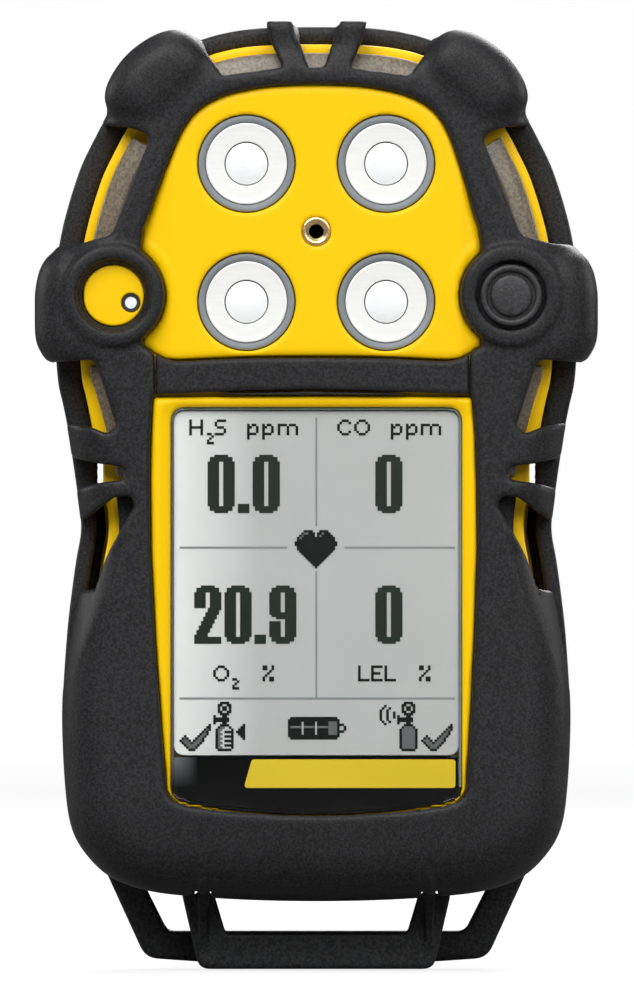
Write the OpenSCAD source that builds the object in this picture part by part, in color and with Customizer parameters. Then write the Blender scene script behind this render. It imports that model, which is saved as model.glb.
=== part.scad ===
// Portable four-sensor gas detector: rubber boot over a two-part housing,
// bottom latch, removable battery pack and alligator clip.
// X is right seen from the front, -Y is the front, Z is up. Millimetres.

/* [Overall] */
// Overall width across the side bumpers
body_w = 80; // [70:1:95]
// Overall height from the bottom latch to the top straps
total_h = 135; // [120:1:155]
// Thickness of the rubber boot on the sides
boot_t = 3.4; // [2.5:0.1:4.5]
// Wall thickness of the plastic housing
shell_t = 2.0; // [1.5:0.1:3]

/* [Sensors] */
// Half the distance between sensor columns
sensor_x = 9.9; // [8:0.1:11]
// Height of the lower sensor row
sensor_z1 = 95.1; // [92:0.1:97]
// Height of the upper sensor row
sensor_z2 = 114.7; // [112:0.1:117]
// Radius of the gasket seen around each sensor
gasket_r = 6.9; // [5:0.1:7.5]
// Radius of the metal cap of each sensor
cap_r = 6.0; // [4:0.1:6.5]
// Radius of the gas membrane
membrane_r = 3.0; // [2:0.1:4]
// Radius of the sensor can behind the face
can_r = 8.6; // [7:0.1:9]
// Height of the threaded insert between the sensors
insert_z = 105.1; // [103:0.1:107]
// Outer radius of the threaded insert
insert_r = 2.05; // [1.8:0.05:2.5]
// Bore radius of the threaded insert
insert_bore_r = 1.05; // [0.8:0.05:1.3]

/* [Display] */
// Half width of the display lens
lens_hw = 20.6; // [18:0.1:22]
// Top of the display lens
lens_top = 80.1; // [76:0.1:81]
// Bottom of the display lens at its corners
lens_bottom = 24.7; // [23:0.1:27]
// Bottom of the picture area of the display
glass_bottom = 30.8; // [29:0.1:34]

/* [Button and sounder] */
// Distance of the button and sounder port from the middle
boss_x = 28.2; // [26:0.1:30]
// Height of the button and sounder port
boss_z = 96; // [94:0.1:98]
// Radius of the round rubber boss
boss_r = 7.7; // [6.5:0.1:8.5]
// Radius of the button
button_r = 5.1; // [4:0.1:5.4]

/* [Battery pack] */
// Half width of the battery pack
pack_hw = 25; // [24:0.1:25.2]
// Lowest edge of the battery pack
pack_z0 = 16.5; // [16:0.1:20]
// Highest edge of the battery pack
pack_z1 = 79.5; // [76:0.1:80]
// Radius of one cell
cell_r = 7.1; // [6.8:0.05:7.15]
// Length of one cell body
cell_len = 49.3; // [45:0.1:50]

/* [Latch and clip] */
// Distance of the latch arms from the middle
arm_x = 16.1; // [15:0.1:17]
// Radius of the latch hinge pin
latch_pin_r = 0.95; // [0.7:0.05:1.1]
// Half width of the clip base
clip_hw = 8.5; // [7:0.1:11]
// Radius of the clip hinge pin
clip_pin_r = 1.2; // [0.8:0.05:1.5]

/* [Hidden] */
$fn = 48;
kx = body_w / 80;
kz = total_h / 135;
e = 0.1;                       // working gap between touching pieces
y_boss = -23.5;                // front of the raised rubber bosses
y_boot = -22.6;                // front of the rubber face
y_face = -21.6;                // front of the sensor face
y_under = -19.9;               // back of the rubber face
y_plate = -18;                 // back of the front shell's plate
y_shelf = -17;                 // ledge that carries the light bars
y_boot_split = -12;            // where the two boots meet
y_split = -6;                  // where the two shells meet
y_shell_back = 10.4;
y_back = 12.5;                 // back of the rubber boot
in1 = boot_t + e;              // shell outside, measured in from the boot
in2 = in1 + shell_t;           // shell inside
bar_in = in1 + 1.2;            // light bar outside
bar_out = bar_in + 2.8;        // light bar inside
riser_in = bar_out + 0.2;
floor_z = 18.6;                // lowest point of the electronics space
latch_y = -9;
latch_z = 13.2;
clip_y = 17.6;
clip_z = 116.5;
coil_r = 1.75;                 // middle of the clip spring's wire from the pin
wire_r = 0.33;
boot_col = [0.09, 0.09, 0.10];
yellow = [1.0, 0.79, 0.02];
metal = [0.75, 0.76, 0.78];

// Half outline of the body, from the top middle down to the bottom middle
BODY = [[0, 134.4], [8, 134.2], [13, 133.5], [17, 132.3], [21, 130.3],
        [25, 127.4], [28, 124.2], [30.2, 121], [31.8, 118], [33.4, 114.7],
        [34.6, 111.3],
        [35.6, 107.9], [36.4, 104.5], [37.1, 100], [37.4, 96], [37.3, 91],
        [36.8, 84], [36.1, 80.7], [35.4, 77.2], [34.6, 72], [33.9, 67],
        [33.5, 62.8], [34.2, 58.5], [34.9, 53.4], [35.5, 48], [36.1, 39],
        [36.1, 33], [35.7, 26], [35, 21], [33.5, 17.6], [30.5, 14.2],
        [27.5, 12.5], [24, 11.4], [19, 10.7], [10, 10.1], [0, 9.9]];
SCREWS = [[21.3, 120.3], [29.3, 84.5], [28.4, 25]];

// Sub-part to draw, or all of them

// ---------------------------------------------------------------- helpers

// Extrudes an X-Z drawing between two Y planes
module slab(y0, y1) rotate([90, 0, 0]) translate([0, 0, -y1])
    linear_extrude(y1 - y0) children();

// Extrudes a Y-Z drawing between two X planes
module xslab(x0, x1) rotate([90, 0, 90]) translate([0, 0, x0])
    linear_extrude(x1 - x0) children();

// Extrudes an X-Y drawing between two heights
module zslab(z0, z1) translate([0, 0, z0]) linear_extrude(z1 - z0) children();

// Round rod along Y
module ycyl(x, z, r, y0, y1, fn = 48) translate([x, y1, z])
    rotate([90, 0, 0]) cylinder(h = y1 - y0, r = r, $fn = fn);

// Round rod along X
module xcyl(y, z, r, x0, x1, fn = 48) translate([x0, y, z])
    rotate([0, 90, 0]) cylinder(h = x1 - x0, r = r, $fn = fn);

module both() {
    children();
    mirror([1, 0, 0]) children();
}

// Closed outline from its right half
module sym2(pts) polygon(concat(
    [for (p = pts) [p[0] * kx, p[1] * kz]],
    [for (i = [len(pts) - 1:-1:0]) if (pts[i][0] > 0)
        [-pts[i][0] * kx, pts[i][1] * kz]]));

module box2(x0, x1, z0, z1) translate([x0, z0]) square([x1 - x0, z1 - z0]);

module round_box2(x0, x1, z0, z1, r) offset(r = r)
    box2(x0 + r, x1 - r, z0 + r, z1 - r);

module at_sensors() for (x = [-sensor_x, sensor_x], z = [sensor_z1, sensor_z2])
    translate([x, z]) children();

module at_screws() both() for (p = SCREWS) translate(p) children();

// ------------------------------------------------------------- 2D outlines

module body2d() sym2(BODY);

module in2d(d) offset(delta = -d) body2d();

// Cushion over each upper corner
module corner2d() both() offset(r = 1.5, $fn = 24) offset(delta = -1.5)
    polygon([[17, 132.5], [19.6, 134.0], [24.5, 131.6], [28.6, 127.5],
             [30.1, 124.1], [29.6, 121.4], [23.5, 119.5], [14.1, 128.2]]);

// Big cushion on each side with the round boss
module side2d() both() {
    round_box2(28, 40, 86.3, 102.8, 4, $fn = 24);
    translate([boss_x, boss_z]) circle(boss_r);
}

module straps2d() both() box2(3, 7.3, 130, total_h);

module silhouette2d() {
    body2d();
    corner2d();
    side2d();
    straps2d();
}

// Notches in the front boot, open to the outside
module notches2d() {
    polygon([[-1.2, 128.4], [1.2, 128.4], [2.2, 131.6], [2.9, 137],
             [-2.9, 137], [-2.2, 131.6]]);
    both() {
        polygon([[12.8, 127.3], [4.7, 128.6], [6.1, 131.2], [7.6, 137],
                 [17.0, 137], [15.3, 130.2]]);
        polygon([[23.5, 118.9], [29.2, 104.7], [33.4, 103.4], [45, 102.9],
                 [45, 121.2], [27.4, 119.9]]);
        polygon([[31.7, 86.9], [28.5, 77.4], [29.8, 76.4], [31.8, 77.3],
                 [45, 80], [45, 86.1]]);
        polygon([[27.3, 71.6], [27.3, 69.9], [31.1, 69.5], [45, 66.2],
                 [45, 75.2], [31.1, 72.3]]);
        polygon([[28.4, 67.4], [26, 67.4], [26, 66.4], [30, 58.7],
                 [31.8, 54.1], [45, 53.8], [45, 61.5], [33.4, 64.0]]);
    }
}

module sensor_window2d() difference() {
    sym2([[0, 126.3], [8, 125.9], [12, 125.0], [15, 123.4], [18.7, 119],
          [21.5, 112], [24.1, 103.5], [24.1, 90], [22.8, 88], [19.3, 86.8],
          [0, 87.3]]);
    both() translate([boss_x, boss_z]) circle(boss_r);
}

module display_window2d() sym2([[0, 81.9], [22.7, 81.7], [23.2, 70],
    [23.2, 60], [21.3, 26], [20.6, 24.4], [19, 23.7], [10, 23.0], [0, 22.7]]);

module crossbar2d() sym2([[0, 87.2], [19.3, 86.7], [22.2, 87.6], [22.2, 81.9],
                          [0, 82.6]]);

module lens2d() sym2([[0, lens_top], [19.6, lens_top], [lens_hw, 79.1],
    [lens_hw, lens_bottom + 1], [19.8, lens_bottom], [10, 23.9], [0, 23.5]]);

module screw_bosses2d(r) at_screws() circle(r);

// ------------------------------------------------------------------- boots

module face_cuts2d() {
    notches2d();
    offset(delta = 0.05) sensor_window2d();
    offset(delta = 0.05) display_window2d();
    offset(delta = 0.05) crossbar2d();
    translate([-boss_x, boss_z]) circle(4.4);
    translate([boss_x, boss_z]) circle(button_r + 0.3);
}

// Room under the body for the latch hinge
module latch_room() both() {
    translate([arm_x - 4.4, -13, 5]) cube([8.8, 10.6, 10.7]);
    translate([arm_x - 1.1, -17, 5]) cube([2.2, 13.6, 11.3]);
}

// Narrow gap between boot and housing, seen through the small side slot
module side_gap() both() slab(y_boot_split - 2, y_back + 1)
    box2(30.2, 31.7, 69, 72.6);

// Room for the pack's feet, open to the back
module foot_room() both() translate([arm_x - 1.7, -2.5, 5])
    cube([3.4, 17, 11.6]);

module front_boot() color(boot_col) difference() {
    union() {
        slab(y_boot, -21.3) difference() {
            offset(delta = -2.4) silhouette2d();
            face_cuts2d();
        }
        slab(-21.3, y_under) difference() {
            offset(delta = -0.8) silhouette2d();
            face_cuts2d();
        }
        slab(y_under, y_boot_split - e) difference() {
            silhouette2d();
            in2d(boot_t);
            notches2d();
        }
        slab(y_boot_split - e - 0.01, 3) difference() {
            union() {
                corner2d();
                side2d();
            }
            offset(delta = e) body2d();
            notches2d();
        }
        slab(y_boss, y_boot) difference() {
            union() {
                both() translate([boss_x, boss_z]) circle(boss_r - 0.5);
                offset(delta = -2) corner2d();
            }
            face_cuts2d();
        }
    }
    latch_room();
}

module rear_boot() color(boot_col) difference() {
    union() {
        slab(y_boot_split, y_shell_back + e) difference() {
            body2d();
            in2d(boot_t);
        }
        slab(y_shell_back + e, y_back) difference() {
            in2d(1);
            box2(-pack_hw - 0.6, pack_hw + 0.6, pack_z0 - 0.6, pack_z1 + 0.6);
            screw_bosses2d(2.6);
            for (z = [93, 108]) translate([0, z]) circle(1.5);
        }
    }
    latch_room();
    foot_room();
    side_gap();
    translate([-8, 6.9, 5]) cube([16, 3.3, 9.6]);
}

module display_crossbar() color(boot_col) slab(y_boot - 0.1, y_under)
    offset(delta = -0.05) crossbar2d();

// Fixed loop behind the latch, for a strap
module strap_loop() color(boot_col) slab(3.5, 6.5) difference() {
    polygon([[-30.1, 14], [-25.6, 4], [-24.3, 2], [-22, 1.1], [22, 1.1],
             [24.3, 2], [25.6, 4], [30.1, 14]]);
    polygon([[-24, 14], [-24, 11.2], [-21.8, 6.7], [-20, 5.3], [20, 5.3],
             [21.8, 6.7], [24, 11.2], [24, 14]]);
    offset(delta = 0.05) body2d();
}

// ------------------------------------------------------------------- shells

module shell_inside2d(d) intersection() {
    in2d(d);
    box2(-60, 60, floor_z, 140);
}

module lens_hole2d() offset(delta = e) lens2d();

module front_shell() color(yellow) difference() {
    union() {
        slab(y_shelf, y_split - 0.05) difference() {
            in2d(in1);
            shell_inside2d(in2);
        }
        slab(y_shelf, -15.2) difference() {
            in2d(in1);
            in2d(riser_in + shell_t);
        }
        slab(y_under + e, -15.2) difference() {
            in2d(riser_in);
            in2d(riser_in + shell_t);
        }
        slab(y_under + e, y_plate) in2d(riser_in);
        slab(y_face, y_under + e + 0.01) offset(delta = -e) sensor_window2d();
        slab(y_face - 0.3, y_under + e + 0.01) offset(delta = -e)
            display_window2d();
        slab(-15.5, y_split - 0.05) screw_bosses2d(2.4);
        ycyl(0, insert_z, 3.8, y_plate - 0.01, -15.2);
        both() for (x = [arm_x - 4.2, arm_x + 1.1])
            translate([x, -11.8, 11.8]) cube([3.1, 5.6, 3.7]);
    }
    slab(y_face - 1, y_plate + 1) at_sensors() circle(gasket_r + 0.05);
    slab(y_face - 1, y_plate + 1) lens_hole2d();
    ycyl(0, insert_z, insert_r + 0.03, y_face - 1, -16.6);
    ycyl(boss_x, boss_z, 2.9, -21, -14);
    ycyl(boss_x, boss_z, button_r + 0.3, -21, -19.2);
    ycyl(-26.3, 95, 1.1, -21, -14, 24);
    slab(-13, y_split) screw_bosses2d(1.05);
    slab(y_split - 1, y_split) difference() {
        in2d(in1 + 0.6);
        in2d(in1 + 1.4);
    }
    both() xcyl(latch_y, latch_z, latch_pin_r + 0.04, 12.1, 25);
    both() translate([arm_x - 1.1, -12, 9]) cube([2.2, 5.9, 7.1]);
    side_gap();
}

module rear_cavity2d() difference() {
    shell_inside2d(in2);
    box2(-pack_hw - 2, pack_hw + 2, 0, pack_z1 + 2);
    screw_bosses2d(2.5);
}

module rear_shell() color(yellow) difference() {
    union() {
        slab(y_split + 0.05, y_shell_back) in2d(in1);
        slab(-7.6, y_split + 0.06) difference() {
            box2(-pack_hw - 1.9, pack_hw + 1.9, floor_z + 0.2, pack_z1 + 1.9);
            screw_bosses2d(2.6);
        }
        translate([-7.8, 7, 11.5]) cube([15.6, 3, 4]);
    }
    slab(y_split - 0.1, y_shell_back - 2) rear_cavity2d();
    slab(-6.1, y_back) box2(-pack_hw - 0.3, pack_hw + 0.3, pack_z0 - 0.3,
        pack_z1 + 0.3);
    slab(-8, y_back) screw_bosses2d(1.1);
    slab(8.4, y_back) screw_bosses2d(2.3);
    slab(-8, -6) for (x = [-4, 0, 4]) translate([x, 76]) circle(1.0, $fn = 24);
    for (z = [93, 108]) ycyl(0, z, 1.25, 6, y_back, 24);
    for (x = [-6, -3.6, 3.6, 6]) translate([x, 8.5, 11]) cylinder(h = 1.6,
        r = 0.95, $fn = 24);
    translate([-1.6, 7.4, 11]) cube([3.2, 2.2, 1.6]);
    foot_room();
    side_gap();
}

module housing_gasket() color([0.15, 0.15, 0.16]) slab(y_split - 0.9,
    y_split - 0.1) difference() {
        in2d(in1 + 0.65);
        in2d(in1 + 1.35);
    }

module shell_screws() color(metal) both() for (p = SCREWS) {
    difference() {
        ycyl(p[0], p[1], 2.1, 8.5, 10.2, 32);
        ycyl(p[0], p[1], 0.9, 9.3, 11, 6);
    }
    ycyl(p[0], p[1], 0.95, -12, 8.51, 32);
}

// ------------------------------------------------------------------ display

module display_lens() color([0.8, 0.9, 0.85, 0.3]) slab(-21.7, -20.4) lens2d();

module display_label() color([0.05, 0.05, 0.05]) slab(-20.3, -20.0)
    intersection() {
        offset(delta = -0.4) lens2d();
        box2(-40, 40, 20, glass_bottom - 0.3);
    }

module display_glass() color([0.78, 0.80, 0.79]) slab(y_under, -17.9)
    round_box2(-20.2, 20.2, glass_bottom, 79.6, 1, $fn = 24);

module display_frame() color([0.9, 0.9, 0.88]) slab(-17.8, -13.7) difference() {
    box2(-20.4, 20.4, 24.5, 80);
    box2(-19.1, 19.1, 32, 78.8);
    box2(-19.1, 19.1, 25.7, 30.6);
}

module backlight_panel() color([0.95, 0.97, 0.95]) slab(-17.8, -15.8)
    box2(-19, 19, 32.1, 78.7);

module main_board() color([0.05, 0.35, 0.15]) slab(-13.6, -12) difference() {
    box2(-26.4, 26.4, 20, 84.6);
    screw_bosses2d(2.6);
}

module board_components() color([0.08, 0.08, 0.09]) for (b = [
    [-8, 4, 40, 52, -9.6], [8, 18, 44, 54, -10.2], [-22, -14, 30, 46, -9.4],
    [-4, 6, 24, 32, -10.4], [12, 22, 26, 36, -8.8], [-20, -12, 62, 70, -9.8],
    [10, 20, 64, 76, -9.2]])
        slab(-11.95, b[4]) box2(b[0], b[1], b[2], b[3]);

// ------------------------------------------------------------------ sensors

module sensor_board() color([0.05, 0.35, 0.15]) slab(-11.6, -10.2)
    difference() {
        intersection() {
            in2d(in2 + 0.6);
            box2(-60, 60, 87.6, 128);
        }
        screw_bosses2d(2.8);
    }

module gas_sensor(x, z, col) color(col) {
    ycyl(x, z, can_r, y_plate + e, -12.6);
    ycyl(x, z, cap_r, y_under + e, y_plate + e + 0.01);
    for (a = [30, 150, 270])
        ycyl(x + 5.5 * cos(a), z + 5.5 * sin(a), 0.5, -12.61, -11.65, 16);
}

module sensor_upper_left()
    gas_sensor(-sensor_x, sensor_z2, [0.85, 0.85, 0.82]);
module sensor_upper_right()
    gas_sensor(sensor_x, sensor_z2, [0.8, 0.82, 0.85]);
module sensor_lower_left()
    gas_sensor(-sensor_x, sensor_z1, [0.82, 0.85, 0.82]);
module sensor_lower_right()
    gas_sensor(sensor_x, sensor_z1, [0.85, 0.82, 0.82]);

module sensor_gaskets() color([0.5, 0.52, 0.54]) at_xz_sensors(y_face + 0.2,
    y_under) difference() {
        circle(gasket_r);
        circle(cap_r + 0.05);
    }

module sensor_caps() color([0.82, 0.83, 0.84]) at_xz_sensors(y_face + 0.3,
    y_under) difference() {
        circle(cap_r);
        circle(membrane_r + 0.05);
    }

module sensor_membranes() color([0.95, 0.95, 0.95])
    at_xz_sensors(y_face + 0.4, y_under) circle(membrane_r);

module at_xz_sensors(y0, y1) for (x = [-sensor_x, sensor_x],
    z = [sensor_z1, sensor_z2])
        translate([x, 0, z]) slab(y0, y1) children();

module threaded_insert() color([0.80, 0.62, 0.28]) difference() {
    ycyl(0, insert_z, insert_r, y_face - 0.1, -16.7);
    ycyl(0, insert_z, insert_bore_r, y_face - 1, -16);
}

// ------------------------------------------------------ sounder and lights

module buzzer() color([0.12, 0.12, 0.13]) difference() {
    ycyl(-25.6, boss_z, 5.6, -14.6, -11.7);
    ycyl(-26.3, 95, 1, -15, -13.5, 24);
}

module buzzer_seal() color([0.2, 0.2, 0.2]) difference() {
    ycyl(-26.3, 95, 3, -15.15, -14.65);
    ycyl(-26.3, 95, 1.4, -16, -14);
}

module buzzer_cover() color(yellow) difference() {
    ycyl(-boss_x, boss_z, 4.3, y_boot + 1.2, y_under + e);
    ycyl(-26.3, 95, 1.25, -23, -19, 32);
}

module buzzer_vent() color(metal) difference() {
    ycyl(-26.3, 95, 1.2, y_boot + 1.1, y_under + e, 32);
    ycyl(-26.3, 95, 0.8, -23, -20.4, 32);
}

module bar2d(z0, z1) intersection() {
    difference() {
        in2d(bar_in);
        in2d(bar_out);
    }
    box2(10, 60, z0, z1);
}

module light_bar_right() color([0.62, 0.56, 0.50, 0.8]) difference() {
    union() {
        slab(y_under + 0.15, y_shelf - 0.05) {
            bar2d(69.3, 86.5);
            bar2d(104.2, 120.5);
        }
        slab(-18.8, y_shelf - 0.05) bar2d(69.3, 120.5);
    }
    ycyl(boss_x, boss_z, 3.3, -21, -16);
}

module light_bar_left() mirror([1, 0, 0]) light_bar_right();

module light_bar_top() color([0.62, 0.56, 0.50, 0.8])
    slab(y_under + 0.15, y_shelf - 0.05) intersection() {
        difference() {
            in2d(bar_in);
            in2d(bar_out);
        }
        box2(-19, 19, 122, 140);
    }

module alarm_leds() color([0.95, 0.3, 0.2]) {
    both() slab(-15.1, -11.65) {
        box2(24.6, 27.0, 108, 111);
        box2(21.6, 24.0, 114.6, 117.4);
    }
    both() slab(-15.1, -13.65) box2(23.4, 25.8, 72, 75);
    slab(-15.1, -11.65) box2(-1.5, 1.5, 124.6, 127);
}

module vibration_motor() color(metal) {
    xcyl(2, 100, 3, -8, 4);
    xcyl(2, 100, 0.6, 3.99, 8.4, 24);
    translate([-7.5, -1.2, 96.2]) cube([11, 6.4, 1.2]);
}

module motor_weight() color([0.55, 0.5, 0.42]) difference() {
    xcyl(2, 100, 3.1, 4.7, 8.2);
    translate([4, -3, 100.9]) cube([5, 10, 4]);
    xcyl(2, 100, 0.65, 4, 9, 24);
}

// ------------------------------------------------------------------- button

module button_cap() color(boot_col) difference() {
    ycyl(boss_x, boss_z, button_r, -22.9, -20.4);
    difference() {
        ycyl(boss_x, boss_z, 3.6, -24, -22.5);
        ycyl(boss_x, boss_z, 3.2, -25, -22);
    }
}

module button_plunger() color([0.2, 0.2, 0.2])
    ycyl(boss_x, boss_z, 2.5, -20.4 + 0.02, -16.4);

module tact_switch() color([0.3, 0.3, 0.32]) {
    translate([boss_x - 3, -14.2, boss_z - 3]) cube([6, 2.55, 6]);
    ycyl(boss_x, boss_z, 1.4, -15.3, -14.19);
}

module supply_contacts() color([0.9, 0.75, 0.35]) for (x = [-4, 0, 4])
    ycyl(x, 76, 0.9, -8.6, -6.15, 24);

module charging_contacts() color([0.9, 0.75, 0.35])
    for (x = [-6, -3.6, 3.6, 6]) translate([x, 8.5, 11.3])
        cylinder(h = 1.2, r = 0.9, $fn = 24);

module ir_window() color([0.2, 0.02, 0.03]) translate([-1.5, 7.5, 11.4])
    cube([3, 2, 1.1]);

// ------------------------------------------------------------- battery pack

module battery_case() color(yellow) difference() {
    union() {
        slab(-5.8, 9.4) box2(-pack_hw, pack_hw, pack_z0, pack_z1);
        both() translate([arm_x - 1.4, -2.2, 11.3]) cube([2.8, 3.6, 6]);
    }
    slab(-4.5, 10) box2(-23.2, 23.2, pack_z0 + 1.5, pack_z1 - 1.5);
    slab(-6, -4) for (x = [-4, 0, 4]) translate([x, 76]) circle(1.1, $fn = 24);
}

module battery_cover() color(boot_col) difference() {
    slab(9.5, y_back) box2(-pack_hw, pack_hw, pack_z0, pack_z1);
    slab(9, 11) box2(-23.2, 23.2, pack_z0 + 1.5, pack_z1 - 1.5);
    for (z = [24:3:36]) translate([-12, 12, z]) cube([24, 1, 1.2]);
}

module battery_cells() color([0.25, 0.27, 0.3]) for (x = [-14.6, 0, 14.6])
    translate([x, 3.1, 23.2]) {
        cylinder(h = cell_len, r = cell_r);
        cylinder(h = cell_len + 1.3, r = 2.7);
    }

module battery_contacts() color([0.9, 0.75, 0.35]) {
    for (x = [-14.6, 0, 14.6], z = [18.2, 74.0])
        translate([x - 4, 0, z]) cube([8, 6, z < 40 ? 4.8 : 3.8]);
    for (x = [-4, 0, 4]) ycyl(x, 76, 1.0, -6.05, -4.3, 24);
}

// -------------------------------------------------------------------- latch

module battery_latch() color(boot_col) difference() {
    union() {
        slab(-6, -3) difference() {
            polygon([[-19.2, 10.7], [-17.1, 1.2], [-15.4, 0], [15.4, 0],
                     [17.1, 1.2], [19.2, 10.7]]);
            polygon([[-14.6, 12], [-14.4, 10.1], [-12.9, 5.2], [12.9, 5.2],
                     [14.4, 10.1], [14.6, 12]]);
        }
        both() xslab(arm_x - 0.8, arm_x + 0.8) {
            polygon([[-3.01, 2.5], [-5.8, 2.5], [-7.4, 6.5], [-11, 12.2],
                     [-9, 13.2], [-7, 13.2], [-3.5, 10.6], [-3.01, 10.6]]);
            translate([latch_y, latch_z]) circle(2.3);
            box2(-3.5, 3.0, 8.2, 10.2);
            box2(1.8, 3.0, 8.2, 10.9);
        }
    }
    both() xcyl(latch_y, latch_z, latch_pin_r + 0.05, 12, 25);
}

module latch_pin() color(metal) both() xcyl(latch_y, latch_z, latch_pin_r,
    12.3, 19.9);

// --------------------------------------------------------------------- clip

module clip_base() color(metal) difference() {
    union() {
        slab(y_back + 0.1, 14) round_box2(-clip_hw, clip_hw, 86.6, 126, 2,
            $fn = 24);
        both() xslab(clip_hw - 1.2, clip_hw) polygon([[13, 108], [14, 108],
            [20.3, 113.5], [20.3, 119.5], [18, 121], [14, 122], [13, 122]]);
        slab(13.9, 15) box2(-6.9, 6.9, 86.8, 88);
    }
    xcyl(clip_y, clip_z, clip_pin_r + 0.04, -10, 10);
    for (z = [93, 108]) ycyl(0, z, 1.5, 12, 15, 24);
}

module clip_jaw() color(metal) difference() {
    union() {
        xslab(-6.9, 6.9) polygon([[23.5, 131.6], [21.1, 121], [21.0, 111],
            [21.5, 96.6], [17.6, 89.3], [16.2, 87.0], [15.2, 87.0],
            [15.3, 88.4], [16.5, 90.4], [20.3, 97.2], [19.8, 111],
            [19.8, 121], [22.3, 132]]);
        both() xslab(5.7, 6.9) polygon([[15.9, 113.4], [20, 111.5], [20, 121],
            [15.9, 119.4]]);
    }
    xcyl(clip_y, clip_z, clip_pin_r + 0.05, -10, 10);
}

module clip_pin() color(metal) xcyl(clip_y, clip_z, clip_pin_r, -9.2, 9.2);

module clip_spring() color([0.6, 0.6, 0.62]) {
    translate([-3, clip_y, clip_z]) rotate([0, 90, 0]) rotate_extrude($fn = 32)
        for (i = [0:8]) translate([coil_r, 0.3 + i * 0.6]) circle(wire_r, $fn = 10);
    translate([-2.7, clip_y - coil_r, 108.5]) cylinder(h = 8, r = wire_r, $fn = 12);
}

// Last turn of the spring with the leg that lies on the jaw and moves with it
module clip_spring_arm() color([0.6, 0.6, 0.62]) {
    translate([2.5, clip_y, clip_z]) rotate([0, 90, 0]) rotate_extrude($fn = 32)
        translate([coil_r, 0.3]) circle(wire_r, $fn = 10);
    translate([2.8, clip_y + coil_r, clip_z]) cylinder(h = 6, r = wire_r, $fn = 12);
}

module clip_screws() color(metal) for (z = [93, 108]) {
    ycyl(0, z, 2.4, 14.05, 15.2, 32);
    ycyl(0, z, 1.2, 7, 14.06, 24);
}

// ------------------------------------------------------------------ drawing

front_boot();
rear_boot();
display_crossbar();
strap_loop();
front_shell();
rear_shell();
housing_gasket();
shell_screws();
display_lens();
display_label();
display_glass();
display_frame();
backlight_panel();
main_board();
board_components();
sensor_board();
sensor_upper_left();
sensor_upper_right();
sensor_lower_left();
sensor_lower_right();
sensor_gaskets();
sensor_caps();
sensor_membranes();
threaded_insert();
buzzer();
buzzer_seal();
buzzer_cover();
buzzer_vent();
light_bar_left();
light_bar_right();
light_bar_top();
alarm_leds();
vibration_motor();
motor_weight();
button_cap();
button_plunger();
tact_switch();
supply_contacts();
charging_contacts();
ir_window();
battery_case();
battery_cover();
battery_cells();
battery_contacts();
battery_latch();
latch_pin();
clip_base();
clip_jaw();
clip_pin();
clip_spring();
clip_spring_arm();
clip_screws();
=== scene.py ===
"""Portable gas detector: the visual model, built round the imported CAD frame.

Lengths in this script are millimetres until a mesh is made, which is in metres.
X is right seen from the front, -Y is the front, Z is up.
"""

import bmesh
import bpy
import math
import numpy as np
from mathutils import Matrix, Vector


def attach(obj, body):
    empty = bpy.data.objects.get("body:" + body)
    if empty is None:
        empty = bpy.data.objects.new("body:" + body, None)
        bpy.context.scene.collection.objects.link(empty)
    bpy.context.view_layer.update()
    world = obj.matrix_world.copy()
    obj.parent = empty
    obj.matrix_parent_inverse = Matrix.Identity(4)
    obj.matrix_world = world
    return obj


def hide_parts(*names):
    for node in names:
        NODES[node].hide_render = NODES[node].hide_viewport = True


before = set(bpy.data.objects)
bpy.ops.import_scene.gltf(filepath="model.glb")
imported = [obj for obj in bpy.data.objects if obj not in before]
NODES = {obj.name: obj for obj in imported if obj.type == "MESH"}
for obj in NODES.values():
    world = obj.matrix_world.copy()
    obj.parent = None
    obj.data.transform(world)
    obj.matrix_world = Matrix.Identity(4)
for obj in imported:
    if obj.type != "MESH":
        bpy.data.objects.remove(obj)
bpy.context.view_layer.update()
MM = 0.001

# --- outlines

# Half outline of the body, top middle to bottom middle
BODY = [(0, 134.4), (8, 134.2), (13, 133.5), (17, 132.3), (21, 130.3),
        (25, 127.4), (28, 124.2), (30.2, 121), (31.8, 118), (33.4, 114.7),
        (34.6, 111.3), (35.6, 107.9), (36.4, 104.5), (37.1, 100), (37.4, 96),
        (37.3, 91),
        (36.8, 84), (36.1, 80.7), (35.4, 77.2), (34.6, 72), (33.9, 67),
        (33.5, 62.8), (34.2, 58.5), (34.9, 53.4), (35.5, 48), (36.1, 39),
        (36.1, 33), (35.7, 26), (35, 21), (33.5, 17.6), (30.5, 14.2),
        (27.5, 12.5), (24, 11.4), (19, 10.7), (10, 10.1), (0, 9.9)]
SENSOR_WINDOW = [(0, 126.0), (6, 125.8), (10, 125.2), (13, 124.4), (15.6, 123.1),
                 (17.6, 121.3), (19.2, 118.6), (20.6, 115), (22, 111), (23, 107.6),
                 (24.1, 103.5), (24.1, 90), (23.3, 88.5), (21.7, 87.4),
                 (19.3, 86.8), (10, 87.2), (0, 87.3)]
DISPLAY_WINDOW = [(0, 81.9), (22.7, 81.7), (23.05, 76), (23.2, 70), (23.2, 60),
                  (22.6, 46), (21.8, 33), (21.3, 26), (20.9, 25.0), (20, 24.2),
                  (18, 23.5), (14, 22.95), (10, 22.6), (5, 22.3), (0, 22.2)]
CROSSBAR = [(0, 87.2), (10, 87.1), (19.3, 86.7), (21.2, 87.2), (22.25, 87.9),
            (22.25, 81.9), (12, 82.3), (0, 82.6)]
LENS = [(0, 80.1), (18.8, 80.1), (19.9, 79.8), (20.45, 79.1), (20.6, 78.2),
        (20.6, 26.2), (20.4, 25.2), (19.8, 24.6),
        (18, 24.0), (14, 23.3), (10, 22.85), (5, 22.5), (0, 22.4)]
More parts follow.
